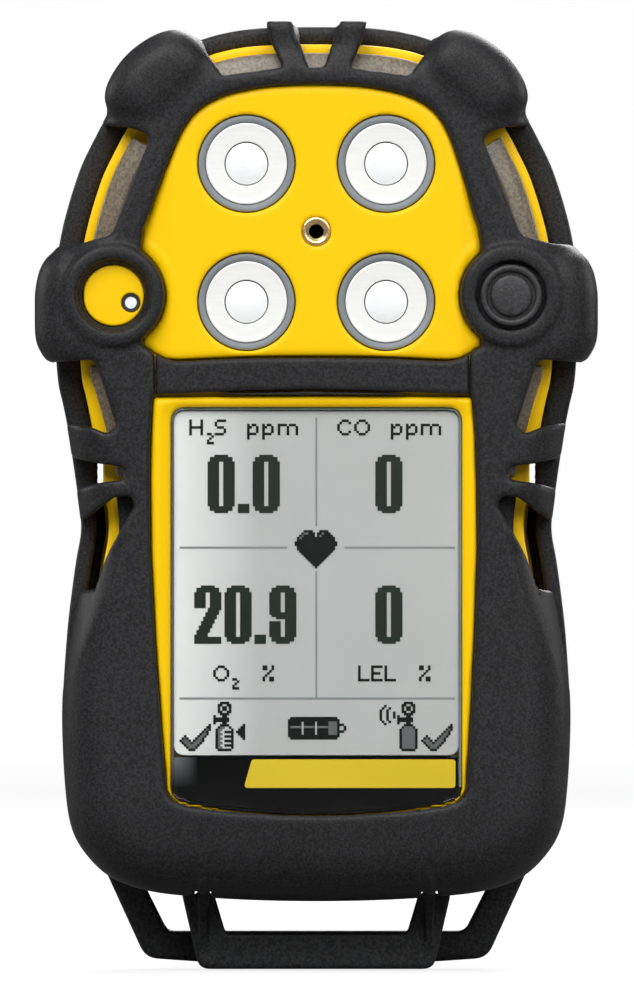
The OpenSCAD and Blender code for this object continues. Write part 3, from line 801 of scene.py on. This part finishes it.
def rear_boot(X, Y, Z):
    """The rubber shell round the back, open over the battery bay."""
    body = loop_field(X, Z, BODY_LOOP)
    d = prism(body, Y, BOOT_SPLIT, BOOT_BACK, 0.7, 4.5)
    d = cut(d, common(body + BOOT_WALL - lift(Z), Y - 10.5), 0.4)
    # a pocket behind each lower side opening
    d = cut(d, common(body + 2.3, Y + 7, 49 - Z, Z - 67), 0.4)
    # the battery bay
    d = cut(d, box_field(X, Y, Z, -25.6, 25.6, 5, 20, 15.9, 80.1, 1.0), 0.5)
    # ribs for grip on both sides
    for z in np.arange(30, 56, 4.0):
        groove = np.hypot(Z - z, np.abs(X) - 37.2) - 1.7
        d = cut(d, common(groove, np.abs(Y + 1) - 7), 0.8)
    # holes for the shell's and the clip's screws
    for x, z in SHELL_SCREWS:
        hole = np.hypot(np.abs(X) - x, Z - z) - 2.6
        d = cut(d, common(hole, 8 - Y), 0.4)
    for z in CLIP_SCREWS_Z:
        d = cut(d, common(np.hypot(X, Z - z) - 1.5, 8 - Y))
    d = cut(d, box_field(X, Y, Z, -8, 8, 6.9, 10.2, 0, 16), 0.3)
    # room for the latch and its ribs
    for half, y0, y1, top in ((1.15, -20, -5, 16.4), (4.4, -13, -2.4, 15.7),
                              (1.7, -2.5, 14, 16.6)):
        d = cut(d, rib_box(X, Y, Z, half, y0, y1, 0, top), 0.2)
    return cut(d, gap_field(X, Y, Z))


from_field("rear_boot_skin", rear_boot, (-38.2, -12.7, 9.2),
           (38.2, 13.2, 135.2), 0.5, [REAR_RUBBER], ["rear_boot"])

# --- housing


def front_shell(X, Y, Z):
    """The yellow front of the housing: sensor face and display bezel."""
    body = loop_field(X, Z, BODY_LOOP)
    window, screen, _ = window_fields(X, Z)
    low = 0.5 * np.clip((68 - Z) / 2, 0, 1) * np.clip((Z - 50) / 2, 0, 1)
    edge_in = body + BOOT_WALL + 0.1 - lift(Z) + low
    d = prism(edge_in, Y, -17, -6.05, 0.5, 0.1)
    d = np.minimum(d, prism(body + 8.2 - lift(Z), Y, SHELL_RIM, -10, 0.3, 0.1))
    # sensor face: flat in the middle, falling away past a faint line
    window = window + 0.12
    aX = np.abs(X)
    fall = 0.25 * np.maximum(aX - 20.6, 0) + 0.07 * (aX > 20.6)
    raised = 0.12 * np.clip((9.3 - BOSS_R - bosses(X, Z)) / 0.3, 0, 1)
    edge = 0.3 * np.clip(1 + (window + 0.1) / 0.8, 0, 1) ** 2
    top = SENSOR_FACE + fall - raised + edge
    face = common(window, top - Y, Y + 17)
    # display bezel: slopes in towards the lens
    screen = screen + 0.12
    lens = loop_field(X, Z, LENS_LOOP)
    slope = 0.8 * np.clip(1 - lens / 1.8, 0, 1)
    rim = -21.9 + slope + 0.6 * np.clip(1 + screen / 0.9, 0, 1) ** 2
    bezel = common(screen, rim - Y, Y + 17)
    d = np.minimum(d, np.minimum(face, bezel))
    for x, z in SENSORS:
        hole = np.hypot(X - x, Z - z) - 6.98
        d = cut(d, common(hole, Y + 16), 0.25)
    d = cut(d, common(lens - 0.08, Y + 16), 0.2)
    # bores for the insert, the key and its plunger: middle, radius and end
    for x, z, r, end in ((0, INSERT_Z, 2.09, -16.6), (KEY_X, BOSS_Z, 5.3, -19.2),
                         (BOSS_X, BOSS_Z, 2.9, -14)):
        d = cut(d, common(np.hypot(X - x, Z - z) - r, Y - end))
    # hollow inside
    inner = np.maximum(body + 9.6, -18 - Y)
    inner = np.minimum(inner, np.maximum(body + 5.5, -15.2 - Y))
    d = cut(d, common(inner, 18.6 - Z))
    d = cut(d, gap_field(X, Y, Z))
    # two lugs for each half of the latch's pin
    for a, b in ((11.9, 15.0), (17.2, 20.3)):
        d = np.minimum(d, box_field(aX, Y, Z, a, b, -11.8, -6.2, 11.9, 15.5, 0.3))
    d = cut(d, rib_box(X, Y, Z, 1.1, -12, -5, 8, 16.1))
    pin = np.hypot(Y - LATCH_PIN_Y, Z - LATCH_PIN_Z) - 1.0
    return cut(d, common(pin, 12 - aX))


from_field("front_shell_skin", front_shell, (-34.6, -22.6, 10.4),
           (34.6, -5.4, 131.8), 0.4, [YELLOW], ["front_shell"])

# --- light bars


def body_path(keep):
    """Chosen points of the body outline and their normals, turned inwards."""
    p, n = BODY_LOOP[keep], loop_normals(BODY_LOOP)[keep]
    n[((np.array([0, 70.0]) - p) * n).sum(1) < 0] *= -1
    return p, n


def sweep(points, normals, section, side=1):
    """A closed (inset, y) section carried along points."""
    verts, faces = [], []
    m = len(section)
    outer = section[0][0]
    for p, n in zip(points, normals):
        # the bars run nearer the edge at the top and farther in at the bottom
        down = 0.09 * max(84 - p[1], 0)
        for u, y in section:
            q = p + n * (max(u, outer + down) - lift(p[1]))
            verts.append((side * q[0], y, q[1]))
    for i in range(len(points) - 1):
        for k in range(m):
            j = (k + 1) % m
            faces.append((i * m + k, i * m + j, (i + 1) * m + j, (i + 1) * m + k))
    faces.append(tuple(range(m)))
    faces.append(tuple(range((len(points) - 1) * m, len(points) * m)))
    return verts, faces


BAR_SECTION = [(4.75, -17.05), (4.72, -18.2), (4.85, -18.6), (5.2, -18.85),
               (6.2, -19.2), (7.3, -19.55), (7.6, -19.62), (7.9, -19.5),
               (8.05, -19.2), (8.05, -17.05)]
LOW_SECTION = [(4.75, -17.05), (4.75, -18.6), (8.05, -18.6), (8.05, -17.05)]


def side_bar(side):
    """A side's light bar in three stretches, the middle one set lower."""
    parts = []
    for z0, z1, section in ((69, 86.5, BAR_SECTION), (104.2, 121, BAR_SECTION),
                            (86, 104.6, LOW_SECTION)):
        keep = [i for i, (x, z) in enumerate(BODY_LOOP) if x > 0 and z0 <= z <= z1]
        parts.append(sweep(*body_path(keep), section, side))
    return join(parts)


def top_bar():
    """The light bar over the top."""
    keep = [i for i, (x, z) in enumerate(BODY_LOOP) if abs(x) < 19.5 and z > 120]
    keep.sort(key=lambda i: BODY_LOOP[i][0])
    return sweep(*body_path(keep), BAR_SECTION)


for name, bar in (("light_bar_left", side_bar(-1)), ("light_bar_right", side_bar(1)),
                  ("light_bar_top", top_bar())):
    ob = make(name + "_skin", *bar, "light_diffuser", [BAR], [name])
    soften(sharp(clean(ob)), 0.12, 40)

# --- sensors


def at_sensors(node, slot, mat, profile):
    """The same round piece at each of the four sensors."""
    parts = [lathe(profile, x, z, 96) for x, z in SENSORS]
    sharp(clean(make(node + "_skin", *join(parts), slot, [mat], [node])), 30)


at_sensors("sensor_gaskets", "gasket_grey", GASKET, [
    (5.85, -19.9), (5.85, -20.95), (5.95, -21.1), (6.15, -21.2), (6.5, -21.26),
    (6.72, -21.2), (6.84, -21.0), (6.84, -19.9)])
at_sensors("sensor_caps", "steel", CAPS, [
    (3.12, -19.95), (3.12, -21.0), (3.18, -21.08), (3.4, -21.1), (4.4, -21.12),
    (5.3, -21.16), (5.58, -21.2), (5.72, -21.14), (5.78, -21.0), (5.78, -19.95)])
at_sensors("sensor_membranes", "membrane", MEMBRANE, [
    (0.0, -19.95), (0.0, -21.32), (1.0, -21.28), (1.9, -21.16), (2.6, -20.98),
    (2.92, -20.84), (2.98, -20.7), (2.98, -19.95)])

# Brass insert with its thread
THREAD_R, THREAD_DEPTH, HALF_PITCH = 1.05, 0.2, 0.16
thread = [(THREAD_R + THREAD_DEPTH * (i % 2), -21.35 + HALF_PITCH * i)
          for i in range(28)]
insert = lathe([(2.05, -16.7), (2.05, -21.55), (1.95, -21.68), (1.6, -21.7),
                (1.42, -21.6)] + thread + [(THREAD_R, -16.7)], 0, INSERT_Z, 64)
sharp(clean(make("threaded_insert_skin", *insert, "brass", [BRASS],
                 ["threaded_insert"])), 50)

# --- sounder and button

vent = lathe([(1.3, SHELL_RIM), (1.3, -21.5), (1.25, -21.58), (1.05, -21.55),
              (0.9, -21.3), (0.85, -21.0), (0.85, SHELL_RIM)], VENT_X, VENT_Z, 48)
sharp(clean(make("buzzer_vent_skin", *vent, "black_plastic", [SEAL],
                 ["buzzer_vent"])), 50)
disc = lathe([(0.84, SHELL_RIM), (0.84, -21.2), (0.0, -21.25), (0.0, SHELL_RIM)],
             VENT_X, VENT_Z, 48)
sharp(clean(make("vent_membrane", *disc, "membrane", [MEMBRANE])), 50)


def cover(X, Y, Z):
    """The round cover of the sounder."""
    r = np.hypot(X - PORT_X, Z - BOSS_Z)
    d = corner_join(r - COVER_R, -21.4 - Y, 0.3)
    d = np.maximum(d, Y - SHELL_RIM)
    return cut(d, np.hypot(X - VENT_X, Z - VENT_Z) - VENT_R, 0.2)


from_field("buzzer_cover_skin", cover, (-33, -22, 91), (-23.4, -19.4, 101),
           0.15, [YELLOW], ["buzzer_cover"])
key = lathe([(0.0, -20.42), (0.0, -23.05), (1.5, -23.03), (2.5, -22.96),
             (2.85, -22.86), (2.98, -22.6), (3.02, -22.1), (3.38, -22.1),
             (3.42, -22.6), (3.55, -22.86), (3.9, -22.94), (4.2, -22.88),
             (4.4, -22.65), (4.47, -22.2), (4.47, -21.3), (4.9, -21.2),
             (4.9, -20.42)], KEY_X, BOSS_Z, 96)
sharp(clean(make("button_cap_skin", *key, "boot_rubber", [KEY_RUBBER],
                 ["button_cap"], "button")), 60)

# --- display
LENS_BACK, LABEL_FRONT, LABEL_BACK = -20.4, -20.3, -20.0
LABEL_TOP, BAND_TOP, BAND_FOOT = 30.5, 30.2, 26.15

lens = make("display_lens_skin", *slab(LENS_LOOP, SENSOR_FACE, LENS_BACK),
            "lens_glass", [LENS_MAT], ["display_lens"], smooth=False)
soften(clean(lens), 0.25, 40, 3)


def ring(loop, d0, d1, y0, y1):
    """The band between two insets of a loop, from depth y0 to y1."""
    a, b = inset_loop(loop, d0), inset_loop(loop, d1)
    n = len(loop)
    verts = [(x, y, z) for edge, y in ((a, y0), (b, y0), (b, y1), (a, y1))
             for x, z in edge]
    faces = []
    for i in range(n):
        j = (i + 1) % n
        for r in range(0, 4 * n, n):
            after = (r + n) % (4 * n)
            faces.append((r + i, r + j, after + j, after + i))
    return verts, faces


verts, faces = ring(LENS_LOOP, 0.02, 0.34, -20.35, LABEL_BACK)
dark_part = [int(verts[f[0]][2] < 31) for f in faces]  # beside the strip
clean(make("lens_edge_line", verts, faces, "lens_glass", [LENS_EDGE, LABEL],
           smooth=False, index=dark_part))

glass = rounded([(-20.2, 30.8), (20.2, 30.8), (20.2, 79.6), (-20.2, 79.6)], 1.6)
clean(make("display_glass_skin", *slab(glass, -19.9, -17.9), "display_grey",
           [SCREEN], ["display_glass"], smooth=False))
label = inset_loop(LENS_LOOP, 0.45)
label = np.array([q for q in label if q[1] < 40])
label = label[np.argsort(np.arctan2(label[:, 0], -(label[:, 1] - 60)))]
strip = [(-20.1, LABEL_TOP)] + [tuple(q) for q in label] + [(20.1, LABEL_TOP)]
clean(make("display_label_skin", *slab(strip, LABEL_FRONT, LABEL_BACK),
           "label_black", [LABEL], ["display_label"], smooth=False))
band = rounded([(-10.3, BAND_FOOT), (19.75, BAND_FOOT), (19.75, BAND_TOP),
                (-9.15, BAND_TOP)], 0.5)
clean(make("label_band", *slab(band, -20.36, -20.31), "label_black", [BAND],
           smooth=False))

PITCH = 0.3167
GROW = 0.03  # how far the ink spreads past each cell
INK_Y = (-19.95, -19.92)


def inked(rows, x, z, tone="#"):
    """Boxes for the marked cells of a picture whose top left is (x, z)."""
    parts = []
    for j, row in enumerate(rows):
        i = 0
        while i < len(row):
            if row[i] != tone:
                i += 1
                continue
            k = i
            while k < len(row) and row[k] == tone:
                k += 1
            parts.append(box(x + i * PITCH - GROW, x + k * PITCH + GROW, *INK_Y,
                             z - (j + 1) * PITCH - GROW, z - j * PITCH + GROW))
            i = k
    return parts


TOP = ["...######...", ".##########.", ".##########."]
SIDES = "#####..#####"
FULL = "############"
ZERO = TOP + [SIDES] * 20 + [".##########.", ".##########.", "...######..."]
NINE = TOP + [SIDES] * 9 + [FULL, ".###########", "...#########",
                            ".......#####"] + [SIDES] * 7 \
    + [".##########.", ".##########.", "...######..."]
TWO = TOP + [SIDES] * 7 + ["......######", "......#####.", ".....######.",
                           ".....#####..", "....######..", "....#####...",
                           "...######...", "...#####....", "..######....",
                           "..#####.....", ".######.....", ".#####......",
                           "######......"] + [FULL] * 3
DOT = ["#####"] * 4
HEART = ["....####...####....", "...#oo###.##o###...", "..#o#####.#o#####..",
         ".#o###############.", ".#################.", "###################",
         "###################", ".#################.", ".#################.",
         "..###############..", "...#############...", "....###########....",
         ".....#########.....", "......#######......", ".......#####.......",
         "........###........", ".........#........."]
SMALL = {
    "H": ["#....#"] * 3 + ["######"] + ["#....#"] * 3,
    "2": ["##.", "..#", ".#.", "#..", "###"],
    "S": [".####", "#....", "#....", ".###.", "....#", "....#", "####."],
    "p": ["#.##.", "##..#", "#...#", "#...#", "####.", "#....", "#...."],
    "m": ["####.###.", "#...#...#", "#...#...#", "#...#...#", "#...#...#"],
    "C": ["..###.", ".#...#", "#.....", "#.....", "#.....", ".#...#", "..###."],
    "O": ["..###..", ".#...#.", "#.....#", "#.....#", "#.....#", ".#...#.",
          "..###.."],
    "%": ["##..#", "##..#", "...#.", "..#..", ".#...", "#..##", "#..##"],
    "L": ["#...."] * 6 + ["#####"],
    "E": ["#####", "#....", "#....", "####.", "#....", "#....", "#####"],
}
VALVE = ["...####..", "..##..##.", "..#.##.#.", "..#.##.#.", "..##..##.",
         "...####..", "#...##...", "#######..", "#######..", "#...##...",
         "...####.."]
GAUGE = VALVE + ["..#oo..#."] + [".#oo....#", ".#o..####"] * 4 \
    + [".#oo....#", "..######."]
BOTTLE = VALVE + ["..#oooo#."] + [".#oooooo#"] * 9 + ["..######."]
TICK = [".............#", "............##", "...........#o#", "..........#o#.",
        ".........#oo#.", "..#.....#oo#..", ".#o#...#oo#...", "#ooo#.#ooo#...",
        ".#ooo#ooo#....", "..#ooooo#.....", "...#ooo#......", "....###......."]
ARROW = ["....#", "...##", "..###", ".####", "..###", "...##", "....#"]
WAVES = ["..#....", ".#..#..", "#..#...", "#..#..#", "#..#..#", "#..#..#",
         "#..#...", ".#..#..", "..#...."]
CELLS = "######.#####.#####oooo#"
BATTERY = ["." + "#" * 21, "#" * 23, CELLS, CELLS + "##",
           "#ooooo.ooooo.ooooooooo#..#", CELLS + "..#", CELLS + "##", CELLS,
           "#" * 23, "." + "#" * 21]
figures, signs, grey = [], [], []
for rows, x, z in ((ZERO, -15.4, 73.4), (ZERO, -9.0, 73.4), (ZERO, 8.4, 73.4),
                   (TWO, -17.3, 54.85), (ZERO, -13.0, 54.85),
                   (NINE, -6.65, 54.85), (ZERO, 8.4, 54.85),
                   (DOT, -11.1, 66.43), (DOT, -8.75, 47.88)):
    figures += inked(rows, x, z)
for rows, x, z in ((HEART, -3.05, 62.7), (GAUGE, -14.6, 38.35),
                   (BOTTLE, 11.5, 38.35), (TICK, -19.4, 35.2),
                   (TICK, 14.9, 35.2), (ARROW, -11.7, 35.2),
                   (WAVES, 9.0, 37.9), (BATTERY, -4.0, 36.2)):
    signs += inked(rows, x, z)
    grey += inked(rows, x, z, "o")
for letter, x, z in (("H", -18.0, 78.4), ("2", -15.5, 76.5), ("S", -14.4, 78.4),
                     ("p", -9.8, 77.8), ("p", -7.65, 77.8), ("m", -5.45, 77.8),
                     ("C", 3.0, 78.4), ("O", 5.4, 78.4), ("p", 10.6, 77.8),
                     ("p", 12.75, 77.8), ("m", 14.85, 77.8), ("O", -14.6, 43.5),
                     ("2", -11.9, 41.7), ("%", -7.6, 43.5), ("L", 5.95, 43.5),
                     ("E", 7.8, 43.5), ("L", 9.7, 43.5), ("%", 14.6, 43.5)):
    signs += inked(SMALL[letter], x, z)
lines = [box(x0, x1, *INK_Y, z0, z1) for x0, x1, z0, z1 in (
    (-0.13, 0.13, 63.3, 78.7), (-0.13, 0.13, 39.0, 56.9), (-19.4, -4.1, 60.1, 60.4),
    (4.0, 19.7, 60.1, 60.4), (-19.4, 19.7, 38.7, 39.0))]
for name, parts, mat in (("display_figures", figures, INK),
                         ("display_signs", signs, INK_DARK),
                         ("display_half_tones", grey, INK_GREY),
                         ("display_lines", lines, INK_LINE)):
    make(name, *join(parts), "label_black", [mat], smooth=False)

# --- latch, loop, clip


def latch(X, Y, Z):
    """The frame at the bottom, with two ribs up to its pin and its catches."""
    outer = rounded([(-19.4, 12.5), (-19.2, 10.7), (-16.75, 0.04), (16.75, 0.04),
                     (19.2, 10.7), (19.4, 12.5)], 1.9)
    inner = rounded([(-14.7, 14), (-14.4, 10.1), (-12.95, 5.2), (12.95, 5.2),
                     (14.4, 10.1), (14.7, 14)], 0.9)
    flat = smax(loop_field(X, Z, outer), -loop_field(X, Z, inner), 0.2)
    plate = smax(prism(flat, Y, -6, -3, 0.5, 0.5), Z - 10.7, 0.3)
    side = rounded([(-3.05, 2.5), (-5.7, 2.5), (-7.4, 6.5), (-11, 12.2),
                    (-10.6, 14.6), (-9.2, 15.4), (-7.4, 14.8), (-6.8, 13.2),
                    (-3.5, 10.6), (-3.05, 10.6)], 0.6)
    half = 0.42 + 0.38 * np.clip((Z - 3) / 8, 0, 1)
    rib = np.maximum(loop_field(Y, Z, side), np.abs(np.abs(X) - RIB_X) - half)
    arm = rib_box(X, Y, Z, 0.75, -4, 3.0, 8.2, 10.2, 0.3)
    lip = rib_box(X, Y, Z, 0.75, 1.8, 3.0, 8.2, 10.9, 0.3)
    d = smin(plate, rib, 0.7)
    d = smin(d, np.minimum(arm, lip), 0.4)
    return cut(d, np.hypot(Y - LATCH_PIN_Y, Z - LATCH_PIN_Z) - 1.0)


from_field("battery_latch_skin", latch, (-20.2, -12, -0.4), (20.2, 3.6, 16.2),
           0.28, [BLACK], ["battery_latch"], "latch")


def loop_shape(X, Y, Z):
    """The strap loop behind the latch."""
    outer = rounded([(-34.4, 23), (-24.5, 1.35), (-16.5, 0.8), (16.5, 0.8),
                     (24.5, 1.35), (34.4, 23)], 3.0)
    inner = rounded([(-24.5, 20), (-24.35, 11.3), (-21.3, 5.25), (21.3, 5.25),
                     (24.35, 11.3), (24.5, 20)], 1.7)
    flat = smax(loop_field(X, Z, outer), -loop_field(X, Z, inner), 0.2)
    body = loop_field(X, Z, BODY_LOOP)
    return np.maximum(prism(flat, Y, 3.5, 6.5, 0.6, 0.6), -body - 0.3)


from_field("strap_loop_skin", loop_shape, (-31.0, 3.0, 0.3), (31.0, 7.0, 15.4),
           0.3, [BLACK], ["strap_loop"])


def pack_cover(X, Y, Z):
    """The battery pack's lid at the back."""
    flat = loop_field(X, Z, rounded([(-BAY_X, BAY_FOOT), (BAY_X, BAY_FOOT),
                                     (BAY_X, BAY_TOP), (-BAY_X, BAY_TOP)], 2.0))
    d = prism(flat, Y, 9.5, 12.45, 0.2, 1.0)
    # ribs for the thumb
    for z in np.arange(24, 38, 3.0):
        d = cut(d, common(np.hypot(Y - 12.9, Z - z) - 1.1, np.abs(X) - 12), 0.4)
    return d


from_field("battery_cover_skin", pack_cover, (-25.6, 9, 15.9), (25.6, 13, 80.1),
           0.45, [BLACK], ["battery_cover"], "pack")

# Torsion spring on the clip pin: fixed turns, and the last turn on the jaw
COIL_R, WIRE_R, PIN_Y, PIN_Z = 1.75, 0.33, 17.6, 116.5


def coil(x0, x1, turns, start, rising):
    """Helix points round the clip pin, from one X to another."""
    out = []
    steps = int(turns * 24)
    for i in range(steps + 1):
        a = start + rising * 2 * math.pi * turns * i / steps
        out.append((x0 + (x1 - x0) * i / steps, PIN_Y + COIL_R * math.cos(a),
                    PIN_Z + COIL_R * math.sin(a)))
    return out


leg = [(-2.7, PIN_Y - COIL_R, z) for z in (108.5, 111, 113.5, 115.6)]
make("clip_spring_skin", *tube(leg + coil(-2.68, 2.1, 7.5, math.pi, -1), WIRE_R),
     "steel", [SPRING], ["clip_spring"])
arm = [(2.85, PIN_Y + COIL_R, z) for z in (117.4, 119.0, 120.6, 122.4)]
last_turn = coil(2.45, 2.83, 0.9, 0.2 * math.pi, 1)
make("clip_spring_arm_skin", *tube(last_turn + arm, WIRE_R), "steel", [SPRING],
     ["clip_spring_arm"], "clip")

# --- the CAD nodes that stay

KEPT = ((YELLOW, "rear_shell battery_case"), (SEAL, "housing_gasket buzzer_seal"),
        (WHITE, "display_frame backlight_panel"), (BOARD, "main_board sensor_board"),
        (CHIP, "board_components sensor_upper_left sensor_upper_right "
         # painted shade: the four gas sensors take the dark chip colour so that the slit
         # round each membrane reads dark
         "sensor_lower_left sensor_lower_right buzzer tact_switch"),
        (LED, "alarm_leds"), (WEIGHT, "motor_weight"), (BLACK, "button_plunger"),
        (GOLD, "supply_contacts charging_contacts battery_contacts"),
        (FILTER, "ir_window"), (CELL, "battery_cells"),
        (STEEL, "shell_screws vibration_motor latch_pin clip_base clip_jaw "
         "clip_pin clip_screws"))
for mat, names in KEPT:
    for name in names.split():
        data = NODES[name].data
        if not data.materials:
            data.materials.append(mat)
        for i in range(len(data.materials)):
            data.materials[i] = mat
for name, width in (("clip_base", 0.25), ("clip_jaw", 0.3), ("shell_screws", 0.15),
                    ("clip_screws", 0.3), ("battery_case", 0.3)):
    soften(NODES[name], width, 30)

# --- floor, light, camera


def paper():
    """Pale paper: bright where it is seen, and little light thrown back."""
    m = Nodes("backdrop_paper")
    m.set("Base Color", m.mix(m.noise(3, 2), (0.20, 0.20, 0.20, 1),
                              (0.21, 0.21, 0.21, 1)))
    m.set("Roughness", 0.9)
    m.set("Specular IOR Level", 0.0)
    m.set("Emission Color", (1, 1, 1, 1))
    seen = m.add("ShaderNodeLightPath").outputs["Is Camera Ray"]
    far = m.add("ShaderNodeVectorMath", operation="LENGTH")
    m.t.links.new(m.coord, far.inputs[0])
    glow = m.ramp(far.outputs["Value"], 0.3, 2.0, 0.80, 0.97)
    m.set("Emission Strength", m.math("MULTIPLY", seen, glow))
    return m.mat


# The paper runs flat under the object and curves up into a wall behind it
FLOOR_Z, FLOOR_Y, WALL_Y, WALL_TOP = -0.0002, -8.0, 7.0, 9.0
HALF_WIDTH, BEND_R, BEND_STEPS = 9.0, 2.5, 12
rows = [(FLOOR_Y, FLOOR_Z)]
for i in range(BEND_STEPS + 1):
    a = math.pi / 2 * i / BEND_STEPS
    rows.append((WALL_Y - BEND_R + BEND_R * math.sin(a),
                 BEND_R - BEND_R * math.cos(a) + FLOOR_Z))
rows.append((WALL_Y, WALL_TOP))
me = bpy.data.meshes.new("floor_and_backdrop")
me.from_pydata([(x, y, z) for y, z in rows for x in (-HALF_WIDTH, HALF_WIDTH)], [],
               [(2 * i, 2 * i + 1, 2 * i + 3, 2 * i + 2)
                for i in range(len(rows) - 1)])
me.materials.append(paper())
me.polygons.foreach_set("use_smooth", [True] * len(me.polygons))
ob = bpy.data.objects.new("floor_and_backdrop", me)
bpy.context.scene.collection.objects.link(ob)


MIDDLE_Z = 0.07
# Square soft lights aimed at the middle of the object: place, size and power
for name, place_of, size, power in (
        ("key", (-0.42, -0.95, 0.9), 0.8, 13.2), ("fill", (0.5, -1.05, 0.7), 0.8, 8.0),
        ("top", (0.0, 0.05, 0.85), 0.6, 2.0), ("rim_left", (-0.75, 0.25, 0.3), 0.35, 1.6),
        ("rim_right", (0.75, 0.25, 0.3), 0.35, 1.6), ("back", (0.25, 0.8, 0.7), 0.5, 10.0)):
    light = bpy.data.lights.new(name, "AREA")
    light.shape, light.size, light.energy = "SQUARE", size, power
    ob = bpy.data.objects.new(name, light)
    ob.location = place_of
    aim = Vector((0, 0, MIDDLE_Z)) - ob.location
    ob.rotation_euler = aim.to_track_quat("-Z", "Y").to_euler()
    bpy.context.scene.collection.objects.link(ob)

ROOM_LIGHT, ROOM_SEEN = 0.12, 0.98
world = bpy.data.worlds.new("soft_room")
bpy.context.scene.world = world
world.use_nodes = True
sky = world.node_tree
sky.nodes["Background"].inputs[0].default_value = (1, 1, 1, 1)
# The room is white where it is seen past the paper, and dim as a light
direct = sky.nodes.new("ShaderNodeLightPath").outputs["Is Camera Ray"]
power = sky.nodes.new("ShaderNodeMath")
power.operation = "MULTIPLY_ADD"
sky.links.new(direct, power.inputs[0])
power.inputs[1].default_value = ROOM_SEEN - ROOM_LIGHT
power.inputs[2].default_value = ROOM_LIGHT
sky.links.new(power.outputs[0], sky.nodes["Background"].inputs[1])
bpy.context.scene.view_settings.view_transform = "Standard"

# Long lens, level with the middle: the front is 142 mm high in the view
CAMERA_AWAY, CAMERA_Z = 2.385, 0.067
camera = bpy.data.cameras.new("camera")
camera.lens, camera.sensor_width = 600, 36
camera.clip_start, camera.clip_end = 0.05, 40
cam = bpy.data.objects.new("camera", camera)
cam.location = (0.0001, -CAMERA_AWAY, CAMERA_Z)
cam.rotation_euler = (math.pi / 2, 0, 0)
bpy.context.scene.collection.objects.link(cam)
bpy.context.scene.camera = cam
